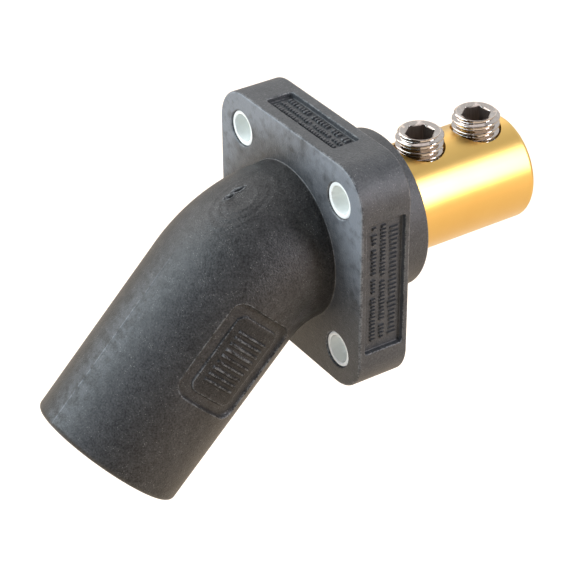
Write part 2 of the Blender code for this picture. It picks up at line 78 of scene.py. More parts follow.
class Slot(Enum):
    """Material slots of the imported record."""

    ELASTOMER = "moulded_elastomer"
    BRASS = "turned_brass"
    NYLON = "natural_nylon"
    STEEL = "plated_steel"


def mm(*values: float) -> tuple[float, ...]:
    """Turns millimetres into metres."""
    return tuple(value * MM for value in values)


# ---------------------------------------------------------------- nodes and colours


def linear(colour: str) -> tuple[float, ...]:
    """Turns an sRGB hex colour with a leading hash into linear red, green, blue and alpha."""
    values = [int(colour[i : i + 2], 16) / 255.0 for i in (1, 3, 5)]
    return (*(v / 12.92 if v <= 0.04045 else ((v + 0.055) / 1.055) ** 2.4 for v in values), 1.0)


def add_node(tree: bpy.types.NodeTree, kind: str, inputs: dict[Any, Any] | None = None,
             output: Any = 0, **settings: Any) -> Any:
    """Adds a node with its settings, its inputs and the links to them.

    Args:
        tree: shader or geometry tree that gets the node.
        kind: Blender's name of the node's type.
        inputs: values or output sockets by input name or index.
        output: name or index of the output to return, or None for the node itself.
        **settings: properties of the node.

    Returns:
        The chosen output socket, or the node.
    """
    node = tree.nodes.new(kind)
    for name, value in settings.items():
        setattr(node, name, value)
    for name, value in (inputs or {}).items():
        socket = node.inputs[name]
        if isinstance(value, bpy.types.NodeSocket):
            tree.links.new(value, socket)
        else:
            socket.default_value = value
    return node if output is None else node.outputs[output]


class Finish:
    """Node material being built, with the kinds of node that the finishes share."""

    def __init__(self, name: str, preview: str) -> None:
        """Starts an empty material.

        Args:
            name: material name.
            preview: sRGB hex colour for the viewport.
        """
        self.made = bpy.data.materials.new(name)
        self.made.use_nodes = True
        self.made.diffuse_color = linear(preview)
        self.tree = self.made.node_tree
        self.tree.nodes.clear()

    def add(self, kind: str, inputs: dict[Any, Any] | None = None, output: Any = 0,
            **settings: Any) -> Any:
        """Adds a shader node, as add_node does."""
        return add_node(self.tree, "ShaderNode" + kind, inputs, output, **settings)

    def math(self, operation: str, *values: Any) -> Any:
        """Adds arithmetic on one, two or three values."""
        return self.add("Math", dict(enumerate(values)), operation=operation)

    def chain(self, operation: str, first: Any, *others: Any) -> Any:
        """Adds one kind of arithmetic on a row of values."""
        for other in others:
            first = self.math(operation, first, other)
        return first

    def noise(self, vector: Any, size: float, detail: float, roughness: float = 0.5) -> Any:
        """Adds noise with features of about the given size."""
        return self.add("TexNoise", {"Vector": vector, "Scale": 1 / size, "Detail": detail,
                                     "Roughness": roughness})

    def ramp(self, value: Any, span: Pair, to: Pair = (0.0, 1.0), **settings: Any) -> Any:
        """Adds a ramp that takes one span of values to another."""
        return self.add("MapRange", {"Value": value, "From Min": span[0], "From Max": span[1],
                                     "To Min": to[0], "To Max": to[1]}, **settings)

    def band(self, value: Any, low: float, high: float, strength: float = 1.0) -> Any:
        """Adds a smooth ramp from 0 at low to the strength at high."""
        return self.ramp(value, (low, high), (0.0, strength), interpolation_type="SMOOTHSTEP")

    def mix(self, share: Any, first: Any, second: Any) -> Any:
        """Adds a blend of two colours, each a socket or an sRGB hex colour."""
        first, second = (linear(c) if isinstance(c, str) else c for c in (first, second))
        return self.add("MixRGB", {"Fac": share, "Color1": first, "Color2": second})

    def bump(self, height: Any, depth: float, strength: float, **normal: Any) -> Any:
        """Adds bump, over another one where Normal is given."""
        return self.add("Bump", {"Strength": strength, "Distance": depth, "Height": height,
                                 **normal})

    def finished(self, inputs: dict[str, Any]) -> Material:
        """Adds the surface with the inputs, and returns the material."""
        self.add("OutputMaterial", {"Surface": self.add("BsdfPrincipled", inputs)}, None)
        return self.made


# ---------------------------------------------------------------- finishes


@dataclass(frozen=True)
class Elastomer:
    """Injection-moulded thermoplastic elastomer: charcoal, satin, finely pitted and dusty.

    The flow of the melt leaves soft grey clouds, the mould's spark-eroded skin leaves fine
    pits, and talc and handling leave pale specks, scuffed edges and a dusty parting line.
    Light is painted in as well: a bluish painted sheen on the flange's front face, painted
    shade that darkens the recessed pad, and a painted highlight along the flange's front rim.
    """

    dark: str = "#101112"
    light: str = "#353535"
    # Pale grey-blue for the chalk, dust and scuffs, and for the painted sheen and highlight on
    # the flange.
    chalk_and_sheen: str = "#797F86"
    worn: str = "#8C8F90"
    dust: str = "#B4B3AD"
    roughness: Pair = (0.40, 0.54)
    gloss: Pair = (0.36, 0.64)
    noises: tuple[Pair, ...] = ((15 * MM, 4.0), (2.2 * MM, 3.0), (0.40 * MM, 2.0))
    specks: tuple[Triple, ...] = ((0.38 * MM, 0.09 * MM, 0.30), (1.7 * MM, 0.12 * MM, 0.30))
    wear_bend: Pair = (0.9, 2.6)
    wear_strength: float = 0.45
    pit_depth: float = 0.11 * MM
    wave_size: float = 6 * MM
    wave_depth: float = 0.10 * MM
    flange_front: float = -12.7 * MM
    flange_half: float = 27.75 * MM
    knee: float = -22.85 * MM
    pad_centre: Pair = mm(20.45, 0.6)
    pad_half: Pair = mm(9.8, 6.6)
    pad_corner: float = 2.2 * MM
    pad_fade: float = 1.0 * MM
    # Share of painted shade that darkens the recessed pad and lowers its gloss.
    pad_painted_shade: float = 0.36
    behind_strength: float = 0.16
    # Strength of the scuffs and painted edge highlight on the flange's front rim.
    scuff_and_highlight_strength: float = 0.26
    # Where the painted sheen lies on the flange's front face, and how strong it is.
    painted_sheen_reach: Pair = mm(15, 31)
    painted_sheen_height: Pair = mm(-19, 22)
    painted_sheen_strength: float = 1.20
    seam_line: Triple = (0.26 * MM, 0.04 * MM, 0.72)
    seam_haze: Triple = (7.0 * MM, 0.5 * MM, 0.20)
    seam_rise: Pair = mm(12, 22)
    seam_run: Pair = mm(24, 44)

    def material(self) -> Material:
        """Builds the node material."""
        skin = Finish("moulded_charcoal_elastomer", self.dark)
        place = skin.add("TexCoord", output="Object")
        cloud, patch, grain = (skin.noise(place, size, detail, 0.6)
                               for size, detail in self.noises)
        mixed = skin.math("MULTIPLY_ADD", cloud, 0.6, patch)
        mixed = skin.math("MULTIPLY_ADD", grain, 1.2, mixed)
        # Painted shade: the recessed pad is darkened and its gloss lowered.
        pad_shade_factor = skin.math("MULTIPLY_ADD", self.pad_shade_mask(skin, place), -self.pad_painted_shade, 1.0)
        share = skin.math("MULTIPLY", skin.ramp(mixed, (1.05, 1.75)), pad_shade_factor)
        colour = skin.mix(share, self.dark, self.light)
        colour = skin.mix(self.chalk_and_sheen_mask(skin, place, patch, cloud), colour, self.chalk_and_sheen)
        bend = skin.add("Attribute", output="Fac", attribute_name=EDGE_WEAR)
        wear = skin.math("MULTIPLY", skin.band(bend, *self.wear_bend, self.wear_strength),
                         skin.band(mixed, 1.25, 1.60))
        colour = skin.mix(wear, colour, self.worn)
        fine, large = (self.speck_mask(skin, place, patch, *size) for size in self.specks)
        colour = skin.mix(skin.math("MAXIMUM", fine, large), colour, self.dust)
        swell = skin.bump(skin.noise(place, self.wave_size, 2.0), self.wave_depth, 0.5)
        gloss = skin.math("MULTIPLY", skin.ramp(grain, (0.30, 0.70), self.gloss), pad_shade_factor)
        return skin.finished({
            "Base Color": colour, "Roughness": skin.ramp(grain, (0.25, 0.75), self.roughness),
            "Normal": skin.bump(grain, self.pit_depth, 1.0, Normal=swell),
            "Specular IOR Level": gloss,
        })

    def pad_shade_mask(self, skin: Finish, place: Any) -> Any:
        """Adds the mask of the recessed plate's pad, where painted shade darkens the colour and
        lowers the gloss.

        Args:
            skin: the material.
            place: Object coordinates.

        Returns:
            Socket with 1 on the pad, which fades to 0 at its edge.
        """
        parts = skin.add("SeparateXYZ", {0: place}, None).outputs
        ahead = skin.math("SUBTRACT", self.knee, parts["Y"])
        squares = []
        for combine, centre, half in zip(("SUBTRACT", "ADD"), self.pad_centre, self.pad_half):
            offset = skin.math("MULTIPLY", skin.math(combine, ahead, parts["Z"]), 0.5 ** 0.5)
            offset = skin.math("ABSOLUTE", skin.math("SUBTRACT", offset, centre))
            past = skin.math("SUBTRACT", offset, half - self.pad_corner)
            past = skin.math("MAXIMUM", past, 0.0)
            squares.append(skin.math("MULTIPLY", past, past))
        reach = skin.math("SQRT", skin.math("ADD", *squares))
        inside = skin.band(reach, self.pad_corner, self.pad_corner - self.pad_fade)
        return skin.math("MULTIPLY", inside, skin.band(parts["X"], *mm(2, 4)))

    def speck_mask(self, skin: Finish, place: Any, patch: Any, cell: float, radius: float,
                   strength: float) -> Any:
        """Adds the mask of one size of pale dust specks, which gather in patches.

        Args:
            skin: the material.
            place: Object coordinates.
            patch: noise that gathers the specks.
            cell: distance between neighbouring specks.
            radius: radius of the largest speck.
            strength: value on a speck.

        Returns:
            Socket with the strength on a speck and 0 elsewhere.
        """
        cells = skin.add("TexVoronoi", {"Vector": place, "Scale": 1 / cell}, None).outputs
        reach = skin.chain("MULTIPLY", skin.ramp(cells["Color"], (0.25, 0.75)),
                           skin.band(patch, 0.38, 0.58), radius / cell)
        inside = skin.math("LESS_THAN", cells["Distance"], reach)
        return skin.math("MULTIPLY", inside, strength)

    def chalk_and_sheen_mask(self, skin: Finish, place: Any, patch: Any, cloud: Any) -> Any:
        """Adds the mask of the pale places: a light tint on the flange and boss, a painted sheen
        on the flange's front face, scuffs with a painted highlight along its front rim, and the
        dusty parting line.

        Args:
            skin: the material.
            place: Object coordinates.
            patch: noise that breaks the mask up.
            cloud: wide noise that clouds the flange's painted sheen.

        Returns:
            Socket with up to 1 on the pale places, painted sheen and highlight included.
        """
        parts = skin.add("SeparateXYZ", {0: place}, None).outputs
        x, y, z = (parts[name] for name in "XYZ")
        across = skin.math("ABSOLUTE", x)
        side = skin.math("MAXIMUM", across, skin.math("ABSOLUTE", z))
        front, half = self.flange_front, self.flange_half
        # A light tint over the flange and boss, behind the front face.
        behind = skin.band(y, front - 0.3 * MM, front + 0.1 * MM, self.behind_strength)
        flange = skin.band(y, front - 0.3 * MM, front - 0.02 * MM)
        # Scuffs and a painted edge highlight along the flange's rolled front rim.
        scuffs_and_highlight = skin.chain(
            "MULTIPLY", skin.band(side, half - 1.3 * MM, half - 0.30 * MM),
            skin.band(y, front + 1.2 * MM, front + 0.3 * MM),
            skin.band(patch, 0.30, 0.66, self.scuff_and_highlight_strength), flange)
        away = skin.math("ADD", skin.math("MULTIPLY", x, x), skin.math("MULTIPLY", z, z))
        # Painted sheen: a bluish sheen on the flange's front face, dark next to the sleeve and
        # stronger towards the top.
        painted_sheen = skin.chain(
            "MULTIPLY", skin.band(y, front + 0.3 * MM, front + 0.05 * MM), flange,
            skin.band(skin.math("SQRT", away), *self.painted_sheen_reach),
            skin.band(cloud, 0.16, 0.56), skin.band(patch, -0.05, 0.62),
            skin.band(z, *self.painted_sheen_height, self.painted_sheen_strength))
        above = skin.math("SUBTRACT", z, skin.math("SUBTRACT", y, self.knee))
        line = skin.math("MAXIMUM", skin.band(across, *self.seam_line),
                         skin.band(across, *self.seam_haze))
        start, end = self.seam_run
        seam = skin.chain(
            "MULTIPLY", line, skin.band(patch, 0.36, 0.60), skin.band(above, *self.seam_rise),
            skin.band(y, front - start, front - end))
        return skin.chain("MAXIMUM", behind, painted_sheen, scuffs_and_highlight, seam)


@dataclass(frozen=True)
class Metal:
    """Bare metal with a grain that roughens and scores it, and tints it unless clouds do."""

    name: str
    light: str
    deep: str
    roughness: Pair | float
    grain: Triple
    depth: float
    strength: float
    detail: float = 3.0
    detail_share: float = 0.7
    grain_span: Pair = (0.2, 0.8)
    cloud_size: float = 0.0
    turn: float = 0.0
    preview: str = ""
    coat: dict[str, float] = field(default_factory=dict)

    def material(self) -> Material:
        """Builds the node material, with the light colour as preview unless one is given."""
        metal = Finish(self.name, self.preview or self.light)
        place = metal.add("TexCoord", output="Object")
        stretched = metal.add("Mapping", {
            "Vector": place, "Rotation": (-self.turn, 0.0, 0.0), "Scale": self.grain,
        }, vector_type="TEXTURE")
        grain = metal.noise(stretched, 1.0, self.detail, self.detail_share)
        cloud = metal.noise(place, self.cloud_size, 3.0) if self.cloud_size else grain
        rough = self.roughness
        if isinstance(rough, tuple):
            rough = metal.ramp(grain, self.grain_span, rough)
        return metal.finished({
            "Base Color": metal.mix(cloud, self.light, self.deep), "Metallic": 1.0,
            "Roughness": rough, "Normal": metal.bump(grain, self.depth, self.strength),
            **self.coat,
        })


def brass(name: str, turn: float = 0.0) -> Material:
    """Builds turned brass bar with faint drawing lines along it, under a thin clear lacquer.

    Args:
        name: material name.
        turn: angle of the lines below -Y.

    Returns:
        The material.
    """
    lacquer = {"Coat Weight": 0.5, "Coat Roughness": 0.34, "Coat IOR": 1.6}
    return Metal(name, "#E1BC6B", "#D9B05B", (0.29, 0.37), mm(0.30, 22, 0.30), 0.0018 * MM,
                 0.5, cloud_size=9 * MM, turn=turn, coat=lacquer).material()


PLATED_STEEL = Metal("plated_steel", "#CEC8C3", "#A69D98", (0.06, 0.12), mm(0.6, 0.6, 0.6),
                     0.01 * MM, 0.3, 4.0, 0.6, (0.35, 0.65))
# Painted shade: the key socket, cut by broaching, gets a darker, rougher steel than the plated
# outside.
SOCKET_SHADE_STEEL = Metal("steel_painted_socket_shade", "#AFA59E", "#746962", 0.42,
                       mm(0.25, 0.25, 3), 0.02 * MM, 0.4, 2.0, 0.5, preview="#746962")


@dataclass(frozen=True)
class Nylon:
    """Natural moulded nylon: milky, slightly green-white, semi-gloss."""

    colour: str = "#FAFEFB"
    shade: str = "#F1F7F3"
    roughness: float = 0.26
    cloud_size: float = 3 * MM

    def material(self) -> Material:
        """Builds the node material."""
        milky = Finish("natural_nylon", self.colour)
        cloud = milky.noise(milky.add("TexCoord", output="Object"), self.cloud_size, 3.0)
        return milky.finished({
            "Base Color": milky.mix(cloud, self.colour, self.shade),
            "Roughness": self.roughness, "IOR": 1.53, "Subsurface Weight": 0.35,
            "Subsurface Radius": (1.0, 1.0, 1.0), "Subsurface Scale": 1.5 * MM,
        })


# ---------------------------------------------------------------- mesh building


@dataclass
class Shell:
    """Points and faces of one closed surface."""

    points: np.ndarray
    faces: list[tuple[int, ...]]

    def mesh(self, name: str) -> Mesh:
        """Makes the Blender mesh, turned so that its volume is positive."""
        mesh = bpy.data.meshes.new(name)
        mesh.from_pydata(self.points.tolist(), [], self.faces)
        mesh.update()
        mesh.calc_loop_triangles()
        points = read(mesh.vertices, "co", 3)
        corners = read(mesh.loop_triangles, "vertices", 3, np.int32)
        a, b, c = np.moveaxis(points[corners], 1, 0)
        if np.einsum("ij,ij->i", a, np.cross(b, c)).sum() < 0:
            mesh.flip_normals()
        return mesh


def read(items: Any, name: str, size: int = 1, kind: Any = np.float64) -> np.ndarray:
    """Reads one property of all items of a mesh, in rows where its size is above 1."""
    values = np.zeros(len(items) * size, kind)
    items.foreach_get(name, values)
    return values.reshape(-1, size) if size > 1 else values


def lofted(loops: Sequence[np.ndarray], capped: bool = True) -> Shell:
    """Skins point loops of equal length.

    Args:
        loops: arrays of (count, 3) points, each one loop round.
        capped: whether both ends get a flat face; otherwise the last loop joins the first.

    Returns:
        The shell.
    """
    count, last = len(loops[0]), len(loops) - 1
    faces: list[tuple[int, ...]] = []
    for low, high in [(k, k + 1) for k in range(last)] + ([] if capped else [(last, 0)]):
        for i in range(count):
            j = (i + 1) % count
            faces.append((low * count + i, low * count + j, high * count + j, high * count + i))
    if capped:
        faces.append(tuple(reversed(range(count))))
        faces.append(tuple(range(last * count, (last + 1) * count)))
    return Shell(np.concatenate(loops), faces)


@dataclass(frozen=True)
class Axis:
    """Axis that round pieces are turned about, with the side and up directions square to it."""

    origin: Triple
    side: Triple
    up: Triple
    along: Triple

    def ring(self, radius: np.ndarray | float, height: np.ndarray | float,
             angles: np.ndarray) -> np.ndarray:
        """Points round the axis.

        Args:
            radius: distance from the axis, one value or one for each angle.
            height: distance along the axis, one value or one for each angle.
            angles: angles from side towards up.

        Returns:
            Array of (count, 3) points.
        """
        radius = np.broadcast_to(radius, angles.shape)
        height = np.broadcast_to(height, angles.shape)
        return (np.array(self.origin) + np.outer(radius * np.cos(angles), self.side)
                + np.outer(radius * np.sin(angles), self.up) + np.outer(height, self.along))

    def turned(self, profile: Sequence[Pair], count: int, tube: bool = False) -> Shell:
        """Turns a profile.

        Args:
            profile: (radius, height) points; a tube's profile is a closed outline.
            count: points round.
            tube: whether the profile closes on itself round an open bore.

        Returns:
            The shell.
        """
        angles = np.arange(count) * TAU / count
        return lofted([self.ring(r, h, angles) for r, h in profile], capped=not tube)


def axis_y(x: float = 0, z: float = 0) -> Axis:
    """Axis along +Y through the given place."""
    return Axis((x, 0, z), (1, 0, 0), (0, 0, 1), (0, 1, 0))


def axis_z(y: float, z: float = 0) -> Axis:
    """Axis along +Z through the given place."""
    return Axis((0, y, z), (1, 0, 0), (0, 1, 0), (0, 0, 1))


def arc(radius: float, steps: int, sweep: float = 90.0) -> list[Pair]:
    """Quarter round as (inset, setback) pairs, from the side's tangent to the end face.

    Args:
        radius: radius of the round.
        steps: number of steps.
        sweep: degrees covered.

    Returns:
        The pairs.
    """
    turns = [math.radians(sweep * i / steps) for i in range(steps + 1)]
    return [(radius * (1 - math.cos(a)), radius * (1 - math.sin(a))) for a in turns]


def rounded_box(half_x: float, half_y: float, radius: float, steps: int) -> np.ndarray:
    """Outline of a rectangle with round corners.

    Args:
        half_x: half length.
        half_y: half width.
        radius: corner radius.
        steps: steps in each corner.

    Returns:
        Array of (count, 2) points, anticlockwise.
    """
    points = []
    for k, (sx, sy) in enumerate(((1, 1), (-1, 1), (-1, -1), (1, -1))):
        for i in range(steps + 1):
            a = math.radians(90 * k + 90 * i / steps)
            points.append((sx * (half_x - radius) + radius * math.cos(a),
                           sy * (half_y - radius) + radius * math.sin(a)))
    return np.array(points)


def box_distance(x: np.ndarray, y: np.ndarray, half: Pair, radius: float) -> np.ndarray:
    """Signed distance to a rounded rectangle's outline, negative inside.

    Args:
        x: first coordinate from its centre.
        y: second coordinate from its centre.
        half: half length and half width.
        radius: corner radius.

    Returns:
        The distances.
    """
    qx = np.abs(x) - (half[0] - radius)
    qy = np.abs(y) - (half[1] - radius)
    outside = np.hypot(np.maximum(qx, 0), np.maximum(qy, 0))
    return outside + np.minimum(np.maximum(qx, qy), 0) - radius


def ease(value: np.ndarray, low: float, high: float) -> np.ndarray:
    """Smooth step from 0 at low to 1 at high."""
    t = np.clip((value - low) / (high - low), 0.0, 1.0)
    return t * t * (3 - 2 * t)


def ridge(away: np.ndarray, width: float) -> np.ndarray:
    """Bell curve that is 1 at 0 and has fallen to 0.37 at the width."""
    return np.exp(-((away / width) ** 2))


def spaced(spans: Iterable[Triple]) -> np.ndarray:
    """Values that run through touching spans, each with its own step.

    Args:
        spans: (start, end, step) of each span, in order.

    Returns:
        The values, each once.
    """
    values: list[float] = []
    for start, end, step in spans:
        count = max(1, round((end - start) / step))
        values += list(np.linspace(start, end, count, endpoint=False))
        last = end
    return np.array(values + [last])


def new_object(name: str, data: Any) -> Item:
    """Links an object with its data at the origin."""
    made = bpy.data.objects.new(name, data)
    bpy.context.scene.collection.objects.link(made)
    return made


def evaluated_mesh(item: Item, name: str) -> Mesh:
    """Plain mesh of an object as its modifiers leave it."""
    graph = bpy.context.evaluated_depsgraph_get()
    mesh = bpy.data.meshes.new_from_object(item.evaluated_get(graph), depsgraph=graph)
    mesh.name = name
    return mesh


def placing(x: Any, y: Any, z: Any, origin: Any) -> Matrix:
    """Matrix that places an object by its three axes and its origin."""
    return Matrix([(x[i], y[i], z[i], origin[i]) for i in range(3)] + [(0, 0, 0, 1)])


def combined(name: str, base: Shell, changes: Sequence[tuple[str, Shell]]) -> Mesh:
    """Joins shells to a base or cuts them from it.

    Args:
        name: name of the mesh.
        base: shell to start from.
        changes: (boolean operation, shell) in order.

    Returns:
        The resulting plain mesh.
    """
    item = new_object(name + "_work", base.mesh(name + "_base"))
    helpers = []
    for i, (operation, shell) in enumerate(changes):
        helpers.append(new_object(f"{name}_tool_{i}", shell.mesh(f"{name}_tool_{i}")))
        modifier = item.modifiers.new(f"step_{i}", "BOOLEAN")
        modifier.operation = operation
        modifier.solver = "MANIFOLD"
        modifier.object = helpers[-1]
    mesh = evaluated_mesh(item, name)
    for thing in (*helpers, item):
        data = thing.data
        bpy.data.objects.remove(thing)
        bpy.data.meshes.remove(data)
    return mesh


def finish_piece(name: str, mesh: Mesh, material: Material, slot: Slot, *nodes: str,
                 body: Body = Body.RECEPTACLE, sharp: float = 32.0) -> Item:
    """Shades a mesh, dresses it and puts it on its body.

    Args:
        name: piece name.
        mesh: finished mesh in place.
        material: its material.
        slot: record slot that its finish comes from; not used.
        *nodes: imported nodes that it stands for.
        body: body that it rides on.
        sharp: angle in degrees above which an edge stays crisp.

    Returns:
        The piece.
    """
    mesh.shade_smooth()
    mesh.set_sharp_from_angle(angle=math.radians(sharp))
    mesh.materials.clear()
    mesh.materials.append(material)
    item = new_object(name, mesh)
    weight = item.modifiers.new("face_weighted", "WEIGHTED_NORMAL")
    weight.keep_sharp = True
    weight.weight = 60
    smooth = evaluated_mesh(item, name)
    item.modifiers.remove(weight)
    item.data = smooth
    bpy.data.meshes.remove(mesh)
    smooth.name = name
    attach(item, body.value)
    if nodes:
        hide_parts(*nodes)
    log.info("%s: %d faces on %s", name, len(smooth.polygons), body.value)
    return item


def mark_edges(mesh: Mesh, shortest: float = 0.04 * MM, widest: float = 0.45 * MM,
               limit: float = 6.0) -> None:
    """Stores how sharply a mesh bends outwards at each narrow face, for the wear on its edges.

    Args:
        mesh: finished mesh, which gets a float attribute in 1/mm.
        shortest: edges shorter than this are left out.
        widest: faces wider than this are flat ground and get 0.
        limit: highest value stored.
    """
    points, normals = (read(mesh.vertices, name, 3) for name in ("co", "normal"))
    first, second = read(mesh.edges, "vertices", 2, np.int32).T
    along = points[second] - points[first]
    square = np.maximum(np.einsum("ij,ij->i", along, along), 1e-18)
    used = square > shortest**2
    bend = np.zeros(len(points))
    for ends, sign in ((first, -1.0), (second, 1.0)):
        value = sign * 2 * np.einsum("ij,ij->i", normals[ends], along) / square * MM
        np.maximum.at(bend, ends[used], value[used])
    starts, totals = (read(mesh.polygons, name, kind=np.int32)
                      for name in ("loop_start", "loop_total"))
    corners, edges = (read(mesh.loops, name, kind=np.int32)
                      for name in ("vertex_index", "edge_index"))
    mean = np.add.reduceat(np.minimum(bend, limit)[corners], starts) / totals
    width = read(mesh.polygons, "area") / np.maximum.reduceat(np.sqrt(square)[edges], starts)
    layer = mesh.attributes.new(EDGE_WEAR, "FLOAT", "FACE")
    layer.data.foreach_set("value", np.where(width < widest, mean, 0.0).astype(np.float32))


# ---------------------------------------------------------------- housing


@dataclass(frozen=True)
class Elbow:
    """Centreline of the sleeve: out of the flange, round the bend and down to the mouth."""

    flange_thickness: float = 12.7 * MM
    bend_radius: float = 24.5 * MM
    bend_angle: float = math.radians(45)
    sleeve_length: float = 44.9 * MM
    bend_outer: float = 18.3 * MM
    mouth_outer: float = 18.05 * MM

    @property
    def bend_length(self) -> float:
        """Length of the bend along the centreline."""
        return self.bend_radius * self.bend_angle

    @property
    def mouth(self) -> float:
        """Distance of the mouth along the centreline."""
        return self.bend_length + self.sleeve_length

    @property
    def knee_distance(self) -> float:
        """Distance from the flange's front to where the two straight axes cross."""
        return self.bend_radius * math.tan(self.bend_angle / 2)

    def station(self, distance: float) -> tuple[np.ndarray, np.ndarray]:
        """Centre and outward direction at a distance past the flange's front face.

        Args:
            distance: distance along the centreline, negative behind the front face.

        Returns:
            The centre and the unit vector that points to the outside of the bend.
        """
        turn = min(max(distance / self.bend_radius, 0.0), self.bend_angle)
        along = distance - self.bend_radius * turn
        sine, cosine = math.sin(turn), math.cos(turn)
        centre = np.array([
            0.0,
            -self.flange_thickness - self.bend_radius * sine - along * cosine,
            self.bend_radius * (cosine - 1.0) - along * sine,
        ])
        return centre, np.array([0.0, -sine, cosine])

    def outer(self, distance: float) -> float:
        """Outer radius of the sleeve at a distance along the centreline."""
        share = max(distance - self.bend_length, 0.0) / self.sleeve_length
        return self.bend_outer + share * (self.mouth_outer - self.bend_outer)

    @property
    def contact_axis(self) -> Axis:
        """Axis of the sleeve's straight part, from the knee towards the mouth."""
        sine, cosine = math.sin(self.bend_angle), math.cos(self.bend_angle)
        return Axis((0, -self.flange_thickness - self.knee_distance, 0), (1, 0, 0),
                    (0, -sine, cosine), (0, -cosine, -sine))


ELBOW = Elbow()


@dataclass
class Housing:
    """Moulded one-piece housing with its flange, boss, elbow sleeve and surface features."""

    finish: Material
    half_side: float = 27.75 * MM
    corner: float = 9.1 * MM
    edge: float = 0.5 * MM
    hole_offset: float = 19.05 * MM
    hole_radius: float = 4.2 * MM
    boss_radius: float = 18.7 * MM
    boss_length: float = 12.25 * MM
    boss_edge: float = 0.6 * MM
    fillet: float = 0.22 * MM
    mouth_edge: float = 1.3 * MM
    mouth_bore: float = 12.8 * MM
    mouth_flare: float = 0.6 * MM
    contact_seat: float = 9.6 * MM
    contact_depth: float = 28.7 * MM
    barrel_seat: float = 12.78 * MM
    shank_seat: float = 9.3 * MM
    plate_middle: float = 10.3 * MM
    plate_half: Pair = mm(12.15, 8.9)
    plate_rise: float = 0.6 * MM
    plate_corner: float = 3.0 * MM
    plate_depth: float = 0.80 * MM
    plate_flatness: float = 0.35
    plate_wall: Pair = mm(-0.30, 0.08)
    pad_half: Pair = mm(9.8, 6.6)
    pad_corner: float = 2.2 * MM
    pad_rise: float = 0.42 * MM
    pad_wall: Pair = mm(-0.20, 0.10)
    pad_rib_pitch: float = 1.55 * MM
    pad_rib_rise: float = 0.48 * MM
    pad_rib_side: Pair = mm(0.16, 0.38)
    pad_rib_area: Pair = mm(7.2, 4.4)
    gate_distance: float = 7.9 * MM
    gate_width: float = 0.52 * MM
    gate_depth: float = 0.75 * MM
    gate_rim: float = 0.12 * MM
    gate_strokes: tuple[tuple[float, ...], ...] = (
        (-1.25, 0.25, 0.20, 0.85), (0.55, 1.45, 0.05, 0.50))
    swirl_side: float = -2.3 * MM
    swirl_radii: Triple = mm(2.7, 3.9, 5.4)
    swirl_width: float = 0.42 * MM
    swirl_height: float = 0.085 * MM
    swirl_dimple: float = 0.16 * MM
    swirl_wobble: float = 0.25 * MM
    line_height: float = 0.05 * MM
    line_width: float = 0.22 * MM
    line_start: Pair = mm(13, 20)
    hole_rim: float = 0.35 * MM
    recess_depth: float = 1.3 * MM
    recess_corner: float = 0.7 * MM
    recess_rim: float = 0.30 * MM
    recess_floor_round: float = 0.22 * MM
    top_recess: tuple[float, ...] = mm(-13.7, 12.5, -9.6, -2.7)
    side_recess: tuple[float, ...] = mm(-16.2, 16.4, -11.3, -1.3)

    def plate_height(self, points: np.ndarray, radius: float) -> np.ndarray:
        """Height of the recessed plate, its pad and the pad's ribs.

        Args:
            points: plain points of one ring.
            radius: the ring's radius.

        Returns:
            Height of each point, negative below the plain surface.
        """
        axis = ELBOW.contact_axis
        from_knee = points - np.array(axis.origin)
        t = from_knee @ np.array(axis.along) - (ELBOW.knee_distance + self.plate_middle)
        n = from_knee @ np.array(axis.up) - self.plate_rise
        plate = box_distance(t, n, self.plate_half, self.plate_corner)
        inner = box_distance(t, n, self.pad_half, self.pad_corner)
        half = self.plate_half[1]
        chord = np.sqrt(radius**2 - np.minimum(np.abs(n), half) ** 2)
        floor = self.plate_depth + self.plate_flatness * (chord - math.sqrt(radius**2 - half**2))
        height = -floor * (1 - ease(plate, *self.plate_wall))
        raised = self.pad_rise * (1 - ease(inner, *self.pad_wall))
        turn = t / self.pad_rib_pitch
        away = np.abs(turn - np.round(turn)) * self.pad_rib_pitch
        long, wide = self.pad_rib_area
        ribs = (1 - ease(away, *self.pad_rib_side)) * (
            1 - ease(np.abs(t), long, long + 0.2 * MM)) * (
            1 - ease(np.abs(n), wide, wide + 0.3 * MM))
        height = height + raised * (plate < 0) + self.pad_rib_rise * ribs
        return np.where(points[:, 0] > 0, height, 0.0)

    def surface_height(self, points: np.ndarray, distance: float,
                       angles: np.ndarray) -> np.ndarray:
        """Height of the skin's features above the plain sleeve.

        Args:
            points: plain points of one ring.
            distance: the ring's distance along the centreline.
            angles: angle of each point from +X towards the outside of the bend.

        Returns:
            Height of each point, negative below the plain surface.
        """
        radius = ELBOW.outer(distance)
        height = self.plate_height(points, radius)
        along = distance - self.gate_distance
        across = radius * (angles - math.pi / 2)
        for low, high, start, end in self.gate_strokes:
            share = np.clip((along / MM - low) / (high - low), 0, 1)
            middle = (start + (end - start) * share) * MM
            beyond = np.maximum(np.maximum(low * MM - along, along - high * MM), 0)
            reach = np.hypot(across - middle, beyond)
            wide = self.gate_width * (0.55 + 0.6 * math.sin(math.pi * float(share)))
            height -= self.gate_depth * (1 - ease(reach, 0.25 * wide, 0.85 * wide))
            height += self.gate_rim * ridge(reach - 1.25 * wide, 0.16 * MM)
        swirl = np.hypot(along * 1.05, across - self.swirl_side)
        turn = np.arctan2(across - self.swirl_side, along)
        swirl += self.swirl_wobble * np.sin(2 * turn + 0.6)
        for ring in self.swirl_radii:
            height += self.swirl_height * ridge(swirl - ring, self.swirl_width)
        height -= self.swirl_dimple * (1 - ease(swirl, 0.5 * MM, self.swirl_radii[0]))
        past = distance > self.gate_distance + self.swirl_radii[-1]
        line = ridge(across, self.line_width) * past
        height += self.line_height * line * ease(np.array(distance), *self.line_start)
        return height

